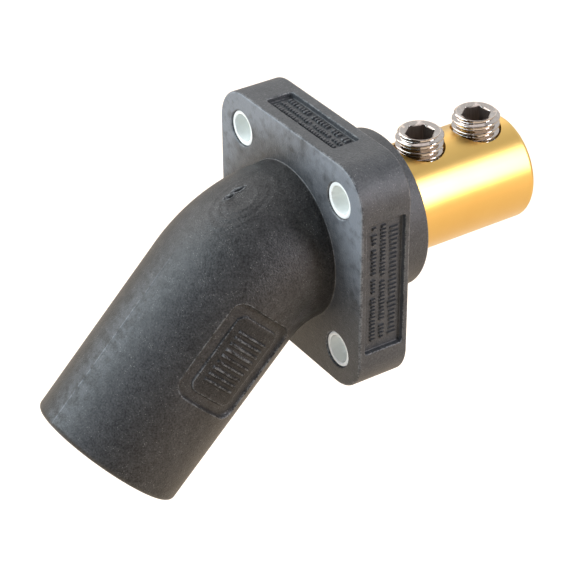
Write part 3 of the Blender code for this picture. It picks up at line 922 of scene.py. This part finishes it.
    def stations(self) -> list[tuple[float, float, bool]]:
        """Distance and radius of each ring of the skin, and whether it has features."""
        bend, mouth, flange = ELBOW.bend_length, ELBOW.mouth, ELBOW.flange_thickness
        middle = bend + self.plate_middle
        low, high = middle - self.plate_half[0], middle + self.plate_half[0]
        rear = -flange - self.boss_length
        fillet = arc(self.fillet, 5, 70.0)
        rings = [(rear + setback, self.boss_radius - inset, False)
                 for inset, setback in reversed(arc(self.boss_edge, 6))]
        rings += [(-flange - gap, self.boss_radius + flare, False) for flare, gap in fillet]
        rings += [(gap, ELBOW.bend_outer + flare, False) for flare, gap in reversed(fillet)]
        gate, fine, clear, band = self.gate_distance, 0.13 * MM, 0.6 * MM, 5.2 * MM
        spans = spaced((
            (self.fillet, gate - 2.0 * MM, 0.28 * MM),
            (gate - 2.0 * MM, gate + 2.1 * MM, 0.12 * MM),
            (gate + 2.1 * MM, gate + 6.5 * MM, 0.25 * MM),
            (gate + 6.5 * MM, low - clear, 0.45 * MM),
            (low - clear, low + band, fine),
            (low + band, high - band, 0.17 * MM),
            (high - band, high + clear, fine),
            (high + clear, mouth - self.mouth_edge, 1.0 * MM),
        ))
        rings += [(float(d), ELBOW.outer(float(d)), True) for d in spans[1:-1]]
        return rings + [(mouth - setback, ELBOW.outer(mouth - setback) - inset, False)
                        for inset, setback in arc(self.mouth_edge, 10)]

    def skin(self) -> Shell:
        """Outside of boss, elbow and sleeve as one swept shell with its surface features."""
        edge = math.degrees(math.asin(self.plate_half[1] / ELBOW.bend_outer)) + 3.5
        inside, fine, plain = 12.0, 0.42, 2.6
        angles = np.radians(spaced((
            (-edge, -inside, fine), (-inside, inside, 2.0), (inside, edge, fine),
            (edge, 54, plain), (54, 86, 0.9), (86, 95, 0.32), (95, 108, 0.9),
            (108, 360 - edge, plain),
        ))[:-1])
        loops = []
        for distance, radius, featured in self.stations():
            centre, out = ELBOW.station(distance)
            spoke = np.outer(np.cos(angles), (1.0, 0.0, 0.0)) + np.outer(np.sin(angles), out)
            points = centre + radius * spoke
            if featured:
                lift = self.surface_height(points, distance, angles)
                points = centre + (radius + lift)[:, None] * spoke
            loops.append(points)
        return lofted(loops)

    def flange(self) -> Shell:
        """Square plate with round corners and rolled edges."""
        rolled = arc(self.edge, 6)
        levels = [(setback - ELBOW.flange_thickness, inset) for inset, setback in rolled[::-1]]
        levels += [(-setback, inset) for inset, setback in rolled]
        loops = []
        for y, inset in levels:
            outline = rounded_box(self.half_side - inset, self.half_side - inset,
                                  self.corner - inset, 20)
            loops.append(np.insert(outline, 1, y, axis=1))
        return lofted(loops)

    def pocket(self, span: tuple[float, ...], top: bool) -> Shell:
        """Cutter of a shallow recess with a rounded floor and a rolled rim.

        Args:
            span: lowest and highest value along the edge, then along Y.
            top: whether it is in the top edge; otherwise in the right one.

        Returns:
            The closed shell.
        """
        low, high, front, back = span
        rolled = arc(self.recess_rim, 5, 78.0)
        levels = [(setback - self.recess_depth, -inset)
                  for inset, setback in reversed(arc(self.recess_floor_round, 4))]
        levels += [(-setback, inset) for inset, setback in rolled]
        levels.append((2 * MM, rolled[-1][0] + 0.6 * MM))
        loops = []
        for height, grow in levels:
            outline = rounded_box((high - low) / 2 + grow, (back - front) / 2 + grow,
                                  self.recess_corner + grow, 8)
            along, across = (outline + ((high + low) / 2, (back + front) / 2)).T
            level = np.full(len(outline), self.half_side + height)
            loops.append(np.column_stack((along, across, level) if top
                                         else (level, across, along)))
        return lofted(loops)

    def hole(self, x: float, z: float) -> Shell:
        """Cutter of one mounting hole with rolled rims."""
        depth, radius = ELBOW.flange_thickness, self.hole_radius
        rolled = arc(self.hole_rim, 5, 78.0)
        end = radius + rolled[-1][0] + MM
        profile = [(end, -depth - MM)]
        profile += [(radius + i, -depth + s) for i, s in reversed(rolled)]
        profile += [(radius + i, -s) for i, s in rolled] + [(end, MM)]
        return axis_y(x, z).turned(profile, 64)

    def cavities(self) -> list[Shell]:
        """Cutters of what is hollow inside: the barrel's seat and the sleeve's bore."""
        rear, end = self.boss_length, ELBOW.knee_distance + ELBOW.sleeve_length
        seat, mouth, depth = self.barrel_seat, self.mouth_bore, self.contact_depth
        barrel = [(self.shank_seat, -30 * MM), (self.shank_seat, -2.1 * MM),
                  (seat, -2.1 * MM), (seat, rear - 0.25 * MM),
                  (seat + 0.35 * MM, rear + 0.1 * MM), (seat + 2 * MM, rear + 2 * MM)]
        bore = [(self.contact_seat, -2 * MM), (self.contact_seat, depth),
                (mouth - 0.4 * MM, depth), (mouth, depth + 0.4 * MM),
                (mouth, end - self.mouth_flare)]
        bore += [(mouth + i, end - s) for i, s in arc(self.mouth_flare, 6, 80.0)[1:]]
        bore.append((mouth + 2 * MM, end + 3 * MM))
        return [axis_y().turned(barrel, 128), ELBOW.contact_axis.turned(bore, 128)]

    def build(self) -> None:
        """Builds and dresses the housing."""
        cutters = self.cavities()
        cutters += [self.hole(x, z) for x in (-self.hole_offset, self.hole_offset)
                    for z in (-self.hole_offset, self.hole_offset)]
        cutters += [self.pocket(self.top_recess, True), self.pocket(self.side_recess, False)]
        changes = [("UNION", self.flange())] + [("DIFFERENCE", cutter) for cutter in cutters]
        mesh = combined("housing_skin", self.skin(), changes)
        item = finish_piece("moulded_housing", mesh, self.finish, Slot.ELASTOMER, "housing",
                            sharp=38.0)
        mark_edges(item.data)


# ---------------------------------------------------------------- brass and nylon


@dataclass
class WireBarrel:
    """Turned brass barrel with its wire bore, shank and tapped screw holes."""

    finish: Material
    hole_places: Pair
    radius: float = 12.7 * MM
    end: float = 47.3 * MM
    edge: float = 1.2 * MM
    bore: float = 7.35 * MM
    bore_depth: float = 34.3 * MM
    bore_chamfer: float = 0.8 * MM
    drill_point: float = math.radians(59)
    shank: float = 9.2 * MM
    tip: float = -28.85 * MM
    hole_radius: float = 5.86 * MM
    hole_edge: float = 0.12 * MM

    def build(self) -> None:
        """Builds and dresses the barrel."""
        floor = self.end - self.bore_depth
        profile = [(self.shank, self.tip), (self.shank, -2.0 * MM),
                   (self.radius - 0.5 * MM, -2.0 * MM), (self.radius, -1.5 * MM)]
        profile += [(self.radius - i, self.end - s) for i, s in arc(self.edge, 10)]
        profile += [(self.bore + self.bore_chamfer, self.end),
                    (self.bore, self.end - self.bore_chamfer), (self.bore, floor),
                    (0.05 * MM, floor - self.bore / math.tan(self.drill_point))]
        cutters = [ELBOW.contact_axis.turned([mm(40, 0), mm(40, 40)], 4)]
        wide = self.hole_radius + self.hole_edge
        hole = [(self.hole_radius, 0.5 * MM), (self.hole_radius, self.radius - wide / 3),
                (wide, self.radius), (wide + 0.3 * MM, self.radius + 2 * MM)]
        cutters += [axis_z(y).turned(hole, 96) for y in self.hole_places]
        mesh = combined("barrel_skin", axis_y().turned(profile, 160),
                        [("DIFFERENCE", cutter) for cutter in cutters])
        finish_piece("brass_wire_barrel", mesh, self.finish, Slot.BRASS, "wire_barrel")


@dataclass
class Bushing:
    """Moulded nylon bushing in one mounting hole."""

    finish: Material
    name: str
    x: float
    z: float
    outer: float = 4.12 * MM
    bore: float = 3.2 * MM
    length: float = 12.7 * MM
    setback: float = 0.35 * MM
    edge: float = 0.22 * MM

    def build(self) -> None:
        """Builds and dresses the bushing."""
        front, back = -self.length + self.setback, -self.setback
        rolled = arc(self.edge, 4)
        profile = [(self.outer - i, front + s) for i, s in reversed(rolled)]
        profile += [(self.outer - i, back - s) for i, s in rolled]
        profile += [(self.bore + i, back - s) for i, s in reversed(rolled)]
        profile += [(self.bore + i, front + s) for i, s in rolled]
        mesh = axis_y(self.x, self.z).turned(profile, 72, tube=True).mesh(self.name)
        finish_piece(f"nylon_{self.name}", mesh, self.finish, Slot.NYLON, self.name, sharp=50.0)


@dataclass
class ContactSet:
    """Socket contact deep in the sleeve, with its cam pin, cap screw and washer."""

    brass: Material
    steel: Material
    outer: float = 9.5 * MM
    bore: float = 6.35 * MM
    length: float = 28.7 * MM
    floor: float = 5.0 * MM
    chamfer: float = 0.4 * MM
    lead_in: float = 0.8 * MM
    hole: float = 3.3 * MM
    pin_radius: float = 2.0 * MM
    pin_offset: float = 6.55 * MM
    pin_height: float = 20.7 * MM
    pin_fit: float = 0.05 * MM
    washer: tuple[float, ...] = mm(3.3, 5.75, 5.3, 6.5)
    screw_seat: float = 6.8 * MM
    screw_head: Pair = mm(5.0, 6.0)
    screw_shank: float = 3.0 * MM
    screw_depth: float = 7.2 * MM
    screw_hex: Pair = mm(5.0, 3.0)

    def build(self) -> None:
        """Builds and dresses the four pieces."""
        axis = ELBOW.contact_axis
        outer, bore, length, chamfer = self.outer, self.bore, self.length, self.chamfer
        profile = [(self.hole, 0), (outer - chamfer, 0), (outer, chamfer),
                   (outer, length - chamfer), (outer - chamfer, length),
                   (bore + self.lead_in, length), (bore, length - self.lead_in),
                   (bore, self.floor), (self.hole, self.floor)]
        up, along = np.array(axis.up), np.array(axis.along)
        place = np.array(axis.origin) + up * self.pin_offset + along * self.pin_height
        across = Axis(tuple(place), tuple(up), tuple(along), (1, 0, 0))
        wide = self.pin_radius + self.pin_fit
        drill = across.turned([(wide, -14 * MM), (wide, 14 * MM)], 48)
        mesh = combined("contact_skin", axis.turned(profile, 128, tube=True),
                        [("DIFFERENCE", drill)])
        finish_piece("brass_socket_contact", mesh, self.brass, Slot.BRASS, "socket_contact")
        reach = math.sqrt(outer**2 - self.pin_offset**2) + 0.6 * MM
        dowel = across.turned([(self.pin_radius, -reach), (self.pin_radius, reach)], 48)
        inside = outer - self.pin_fit
        outside = axis.turned([(inside, 0), (inside, length)], 128)
        mesh = combined("pin_skin", dowel, [("INTERSECT", outside)])
        finish_piece("steel_cam_pin", mesh, self.steel, Slot.STEEL, "cam_pin")
        inner, rim, low, high = self.washer
        edge = 0.12 * MM
        profile = [(inner, low), (rim - edge, low), (rim, low + edge), (rim, high - edge),
                   (rim - edge, high), (inner, high)]
        mesh = axis.turned(profile, 72, tube=True).mesh("washer")
        finish_piece("steel_washer", mesh, self.steel, Slot.STEEL, "joint_washer")
        self.build_cap_screw(axis)

    def build_cap_screw(self, axis: Axis) -> None:
        """Builds and dresses the cap screw with its hexagon socket on the contact's axis."""
        head, height = self.screw_head
        top = self.screw_seat + height
        angles = np.arange(96) * TAU / 96
        key = hexagon_radius(angles, self.screw_hex[0], 0.0)
        shank, edge, bevel = self.screw_shank, 0.5 * MM, 0.15 * MM
        profile = [(shank - edge, -self.screw_depth), (shank, edge - self.screw_depth),
                   (shank, self.screw_seat), (head, self.screw_seat), (head, top - edge),
                   (head - bevel, top - 0.12 * MM), (head - edge, top), (key + bevel, top),
                   (key, top - bevel), (key, top - self.screw_hex[1])]
        mesh = lofted([axis.ring(r, h, angles) for r, h in profile]).mesh("cap_screw")
        finish_piece("steel_cap_screw", mesh, self.steel, Slot.STEEL, "joint_screw")


def hexagon_radius(angles: np.ndarray, width: float, turn: float,
                   blunt: float = 0.06 * MM) -> np.ndarray:
    """Distance of a hexagon's outline from its centre.

    Args:
        angles: directions.
        width: width across flats.
        turn: angle of one corner.
        blunt: how far each corner is cut back.

    Returns:
        The distance in each direction.
    """
    sector = np.mod(angles - turn, TAU / 6) - TAU / 12
    return np.minimum(width / 2 / np.cos(sector), width / math.sqrt(3) - blunt)


@dataclass
class SetScrew:
    """Threaded set screw with a hexagon socket, a dished top and a cup point."""

    finish: Material
    # Darker steel for the painted shade in the key socket.
    socket_shade_finish: Material
    name: str
    body: Body
    place: float
    top: float = 16.46 * MM
    length: float = 9.5 * MM
    crest: float = 5.555 * MM
    pitch: float = 1.8143 * MM
    depth_share: float = 0.5413
    crest_from_top: float = 1.2 * MM
    rim: float = 4.70 * MM
    dish: float = math.radians(20)
    point: float = 2.9 * MM
    cup: float = 0.8 * MM
    key_width: float = 6.1 * MM
    key_depth: float = 5.0 * MM
    turn: float = math.radians(9)
    count: int = 96
    step: float = 0.085 * MM

    def thread_radius(self, height: float, angles: np.ndarray) -> np.ndarray:
        """Radius of the right-hand thread at a height below the top.

        Args:
            height: height from the top, negative downwards.
            angles: directions.

        Returns:
            The radius in each direction.
        """
        phase = (height + self.crest_from_top) / self.pitch - angles / TAU
        away = np.abs(phase - np.round(phase))
        slope = np.clip((away - 1 / 16) / (5 / 16), 0, 1)
        soft = slope * slope * (3 - 2 * slope)
        return self.crest - self.depth_share * self.pitch * (0.62 * slope + 0.38 * soft)

    def build(self) -> None:
        """Builds and dresses the screw, and paints shade into its key socket."""
        angles = self.turn + np.arange(self.count) * TAU / self.count
        key = hexagon_radius(angles, self.key_width, self.turn)
        soft = 0.06 * MM
        outline, fall = self.rim - soft, math.tan(self.dish)
        rings = [(0.2 * MM, -self.length + self.cup),
                 (self.point - 0.25 * MM, -self.length + 0.05 * MM)]
        for height in np.arange(-self.length, 0.0, self.step):
            envelope = min(self.crest + 1, self.point + (height + self.length),
                           self.rim - height)
            rings.append((np.minimum(self.thread_radius(height, angles), envelope), height))
        rings += [(self.rim, -0.5 * soft), (outline, 0.0)]
        for share in (0.08, 0.5, 0.94):
            radius = outline + (key - outline) * share
            rings.append((radius, -(outline - radius) * fall))
        rings += [(key - 0.03 * MM, -(outline - key) * fall - 0.07 * MM),
                  (key - 0.03 * MM, -self.key_depth), (0.3 * MM, -self.key_depth - 1.2 * MM)]
        axis = axis_z(self.place, self.top)
        mesh = lofted([axis.ring(r, h, angles) for r, h in rings]).mesh(self.name)
        item = finish_piece(f"steel_{self.name}", mesh, self.finish, Slot.STEEL, self.name,
                            body=self.body, sharp=48.0)
        # Painted shade: faces inside the key socket take the darker steel.
        item.data.materials.append(self.socket_shade_finish)
        inside = self.top - (outline - self.key_width / 2) * fall + 0.02 * MM
        for face in item.data.polygons:
            away = math.hypot(face.center.x, face.center.y - self.place)
            if away < self.key_width / math.sqrt(3) and (
                    self.top - self.key_depth - 1.5 * MM < face.center.z < inside):
                face.material_index = 1


# ---------------------------------------------------------------- raised ribs


@dataclass
class RibRow:
    """One row of short raised ribs in a recess, with gaps left out of it."""

    start: Triple
    along: Triple
    length: float
    height: float
    pitch: float
    seed: int
    across: Triple = (0, 1, 0)

    @property
    def matrix(self) -> Matrix:
        """Placing of the row: X along it, Y across it and Z out of the surface."""
        return placing(self.along, self.across, np.cross(self.along, self.across), self.start)


@dataclass
class Ribs:
    """Generic raised ribs that fill the flange's two recesses."""

    finish: Material
    width: float = 0.48 * MM
    rise: float = 0.62 * MM
    sunk: float = 0.10 * MM
    gap_share: float = 0.10
    surface: float = 26.45 * MM
    crest_share: float = 0.72
    least: Triple = (0.75, 0.62, 0.9)
    most: Triple = (1.35, 1.0, 1.0)

    def tree(self) -> bpy.types.NodeTree:
        """Geometry Nodes tree of one row, with named inputs for its sizes."""
        tree = bpy.data.node_groups.new("rib_row", "GeometryNodeTree")
        for name, kind in (("Count", "Int"), ("Pitch", "Float"), ("Rib Width", "Float"),
                           ("Rib Length", "Float"), ("Rib Rise", "Float"),
                           ("Gap Share", "Float"), ("Seed", "Int"), ("Material", "Material")):
            tree.interface.new_socket(name, in_out="INPUT", socket_type="NodeSocket" + kind)
        tree.interface.new_socket("Geometry", in_out="OUTPUT", socket_type="NodeSocketGeometry")
        given = add_node(tree, "NodeGroupInput", output=None).outputs
        step = add_node(tree, "ShaderNodeCombineXYZ", {0: given["Pitch"]})
        line = add_node(tree, "GeometryNodeMeshLine", {
            "Count": given["Count"], "Offset": step,
        }, mode="OFFSET")
        left_out = add_node(tree, "FunctionNodeRandomValue", {
            "Probability": given["Gap Share"], "Seed": given["Seed"],
        }, output=3, data_type="BOOLEAN")
        kept = add_node(tree, "GeometryNodeDeleteGeometry", {
            "Geometry": line, "Selection": left_out,
        }, domain="POINT")
        size = add_node(tree, "ShaderNodeCombineXYZ", {
            0: given["Rib Width"], 1: given["Rib Length"], 2: given["Rib Rise"],
        })
        block = add_node(tree, "GeometryNodeMeshCube", {
            "Size": size, "Vertices X": 3, "Vertices Y": 4, "Vertices Z": 3,
        })
        place = add_node(tree, "GeometryNodeInputPosition")
        parts = add_node(tree, "ShaderNodeSeparateXYZ", {0: place}, output=None).outputs
        half = add_node(tree, "ShaderNodeMath", {0: given["Rib Rise"], 1: 0.5},
                        operation="MULTIPLY")
        upper = add_node(tree, "ShaderNodeMath", {0: parts["Z"], 1: half}, operation="DIVIDE")
        drawn = add_node(tree, "ShaderNodeMapRange", {
            "Value": upper, "To Min": 1.0, "To Max": self.crest_share,
        })
        slim = add_node(tree, "ShaderNodeCombineXYZ", {0: drawn, 1: drawn, 2: 1.0})
        tapered = add_node(tree, "ShaderNodeVectorMath", {0: place, 1: slim},
                           operation="MULTIPLY")
        rib = add_node(tree, "GeometryNodeSetPosition", {"Geometry": block, "Position": tapered})
        scale = add_node(tree, "FunctionNodeRandomValue", {
            "Min": self.least, "Max": self.most, "Seed": given["Seed"],
        }, output=0, data_type="FLOAT_VECTOR")
        row = add_node(tree, "GeometryNodeInstanceOnPoints", {
            "Points": kept, "Instance": rib, "Scale": scale,
        })
        real = add_node(tree, "GeometryNodeRealizeInstances", {0: row})
        dressed = add_node(tree, "GeometryNodeSetMaterial", {
            "Geometry": real, "Material": given["Material"],
        })
        add_node(tree, "NodeGroupOutput", {0: dressed}, output=None)
        return tree

    def rows(self) -> list[RibRow]:
        """Places of the six rows, three in each recess."""
        level = self.surface + self.rise / 2 - self.sunk
        rows = []
        for i, (y, tall) in enumerate(((-3.6, 2.3), (-6.3, 1.5), (-8.7, 1.5))):
            rows.append(RibRow((level, y * MM, 14.6 * MM), (0, 0, -1), 28.6 * MM, tall * MM,
                               (0.94 if i else 1.12) * MM, 11 + i))
        for i, (y, tall) in enumerate(((-4.2, 1.7), (-6.3, 1.2), (-8.1, 1.2))):
            rows.append(RibRow((-12.0 * MM, y * MM, level), (1, 0, 0), 23.0 * MM, tall * MM,
                               (0.90 if i else 1.05) * MM, 21 + i))
        return rows

    def build(self) -> None:
        """Builds and dresses all rows as one piece."""
        tree = self.tree()
        sockets = {item.name: item.identifier for item in tree.interface.items_tree
                   if item.in_out == "INPUT"}
        points: list[np.ndarray] = []
        faces: list[tuple[int, ...]] = []
        for i, row in enumerate(self.rows()):
            carrier = new_object(f"rib_carrier_{i}", bpy.data.meshes.new(f"rib_carrier_{i}"))
            modifier = carrier.modifiers.new("ribs", "NODES")
            modifier.node_group = tree
            for name, value in (
                ("Count", int(row.length / row.pitch) + 1), ("Pitch", row.pitch),
                ("Rib Width", self.width), ("Rib Length", row.height), ("Rib Rise", self.rise),
                ("Gap Share", self.gap_share), ("Seed", row.seed), ("Material", self.finish),
            ):
                modifier[sockets[name]] = value
            mesh = evaluated_mesh(carrier, f"ribs_{i}")
            mesh.transform(row.matrix)
            bpy.data.objects.remove(carrier)
            offset = sum(map(len, points))
            points.append(read(mesh.vertices, "co", 3))
            faces += [tuple(v + offset for v in face.vertices) for face in mesh.polygons]
            bpy.data.meshes.remove(mesh)
        joined = Shell(np.concatenate(points), faces).mesh("ribs")
        finish_piece("moulded_ribs", joined, self.finish, Slot.ELASTOMER)


# ---------------------------------------------------------------- studio


@dataclass(frozen=True)
class Softbox:
    """Rectangular studio light that faces the object."""

    name: str
    direction: Triple
    distance: float
    size: Pair
    radiance: float
    colour: str
    aim: Triple = (0.0, -0.010, 0.0)

    def build(self) -> None:
        """Adds the light, level along Y and unseen by the camera."""
        data = bpy.data.lights.new(self.name, "AREA")
        data.shape = "RECTANGLE"
        data.size, data.size_y = self.size
        data.energy = math.pi * self.size[0] * self.size[1] * self.radiance
        data.color = linear(self.colour)[:3]
        back = np.array(self.direction) / np.linalg.norm(self.direction)
        side = np.array((0.0, 1.0, 0.0)) - back[1] * back
        side /= np.linalg.norm(side)
        item = new_object(self.name, data)
        item.matrix_world = placing(side, np.cross(back, side), back,
                                    np.array(self.aim) + back * self.distance)
        item.visible_camera = False


@dataclass
class Studio:
    """Camera, softboxes, pale floor and white surroundings."""

    camera_place: Triple = (0.325094, -0.226673, 0.241330)
    camera_right: Triple = (0.55164083, 0.83407021, -0.00438992)
    camera_up: Triple = (-0.45446591, 0.30498152, 0.83692712)
    camera_back: Triple = (0.69939483, -0.45968810, 0.54729674)
    lens: float = 128.855
    floor_height: float = -0.115
    floor_reach: float = 6.0
    boxes: tuple[Softbox, ...] = (
        Softbox("key_softbox", (-0.40, -0.70, 0.60), 0.85, (0.50, 0.70), 5.35, "#E4F6FF"),
        Softbox("side_softbox", (-0.75, -0.30, 0.60), 0.85, (0.50, 0.70), 2.4, "#FFF8F4"),
        Softbox("front_softbox", (0.10, -0.90, 0.35), 0.85, (0.50, 0.50), 2.6, "#E6EEFF"),
        Softbox("right_softbox", (0.45, -0.80, 0.15), 0.85, (0.50, 0.30), 2.75, "#F4F8FF"),
        Softbox("top_softbox", (0.02, 0.0, 1.0), 0.85, (0.60, 0.60), 0.7, "#FFF4F2"),
        Softbox("back_softbox", (-0.60, 0.55, 0.55), 0.85, (0.45, 0.45), 0.7, "#FFEAD2"),
        Softbox("strip_light", (0.752, 0.46, 0.470), 0.80, (0.25, 0.58), 13.0, "#F6F6FF",
                aim=(0.006, 0.034, 0.009)),
        Softbox("low_fill", (0.88, 0.46, 0.14), 0.80, (0.40, 0.30), 1.9, "#FFD0A6"),
    )
    front_wall: Triple = (0.80, -0.53, 0.28)
    room_light: float = 0.92
    floor_glow: float = 0.62
    floor_sheen: float = 0.38
    sheen_colour: str = "#FADDB0"
    floor_colour: str = "#C4B6A6"

    def add_camera(self) -> None:
        """Adds the camera at the photograph's viewing angle."""
        data = bpy.data.cameras.new("view")
        data.lens = self.lens
        data.sensor_width = 36.0
        data.clip_start = 0.02
        data.clip_end = 20.0
        camera = new_object("view", data)
        camera.matrix_world = placing(self.camera_right, self.camera_up, self.camera_back,
                                      self.camera_place)
        bpy.context.scene.camera = camera

    def add_floor(self) -> None:
        """Adds the pale floor, which shows white and keeps the object's shadow."""
        reach = self.floor_reach
        corners = [(-reach, -reach), (reach, -reach), (reach, reach), (-reach, reach)]
        mesh = bpy.data.meshes.new("floor")
        mesh.from_pydata([(x, y, self.floor_height) for x, y in corners], [], [(0, 1, 2, 3)])
        paper = Finish("white_paper_floor", "#FFFFFF")
        rays = paper.add("LightPath", output=None).outputs
        both = paper.add("BsdfDiffuse", {"Color": linear(self.floor_colour)})
        for ray, colour, strength in (
            ("Is Camera Ray", "#FFFFFF", self.floor_glow),
            ("Is Glossy Ray", self.sheen_colour, self.floor_sheen),
        ):
            level = paper.math("MULTIPLY", rays[ray], strength)
            glow = paper.add("Emission", {"Color": linear(colour), "Strength": level})
            both = paper.add("AddShader", {0: both, 1: glow})
        paper.add("OutputMaterial", {"Surface": both}, None)
        mesh.materials.append(paper.made)
        floor = new_object("floor", mesh)

    def add_world(self) -> None:
        """Adds the surroundings: white for the camera, a bright sweep and a dim front wall."""
        world = bpy.data.worlds.new("surroundings")
        bpy.context.scene.world = world
        world.use_nodes = True
        tree = world.node_tree
        tree.nodes.clear()
        where = add_node(tree, "ShaderNodeTexCoord", output="Generated")
        facing = add_node(tree, "ShaderNodeVectorMath", {0: where, 1: self.front_wall},
                          output="Value", operation="DOT_PRODUCT")
        room = add_node(tree, "ShaderNodeMapRange", {
            "Value": facing, "From Min": -0.15, "From Max": 0.45,
            "To Min": self.room_light, "To Max": 0.0,
        }, interpolation_type="SMOOTHSTEP")
        rays = add_node(tree, "ShaderNodeLightPath", output=None).outputs
        seen = add_node(tree, "ShaderNodeMix", {0: rays["Is Camera Ray"], 2: room, 3: 1.0},
                        data_type="FLOAT")
        sky = add_node(tree, "ShaderNodeBackground", {"Color": (1, 1, 1, 1), "Strength": seen})
        add_node(tree, "ShaderNodeOutputWorld", {"Surface": sky}, output=None)

    def build(self) -> None:
        """Sets up everything round the object."""
        self.add_camera()
        for box in self.boxes:
            box.build()
        self.add_floor()
        self.add_world()
        bpy.context.scene.view_settings.view_transform = "Standard"
        log.info("studio: %d softboxes", len(self.boxes))


# ---------------------------------------------------------------- assembly


def main() -> None:
    """Loads the frame, builds every piece round it and sets up the studio."""
    logging.basicConfig(level=logging.INFO, format="%(name)s: %(message)s")
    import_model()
    elastomer = Elastomer().material()
    steel, socket_shade = PLATED_STEEL.material(), SOCKET_SHADE_STEEL.material()
    nylon = Nylon().material()
    screw_places = mm(22.845, 38.855)

    housing = Housing(elastomer)
    housing.build()
    Ribs(elastomer).build()
    WireBarrel(brass("turned_brass"), screw_places).build()
    ContactSet(brass("turned_contact_brass", ELBOW.bend_angle), steel).build()
    for height, z in (("upper", 1), ("lower", -1)):
        for side, x in (("left", -1), ("right", 1)):
            Bushing(nylon, f"bushing_{height}_{side}", x * housing.hole_offset,
                    z * housing.hole_offset).build()
    for name, body, place in zip(("set_screw_front", "set_screw_rear"),
                                 (Body.FRONT_SCREW, Body.REAR_SCREW), screw_places):
        SetScrew(steel, socket_shade, name, body, place).build()
    Studio().build()


if __name__ == "__main__":
    main()
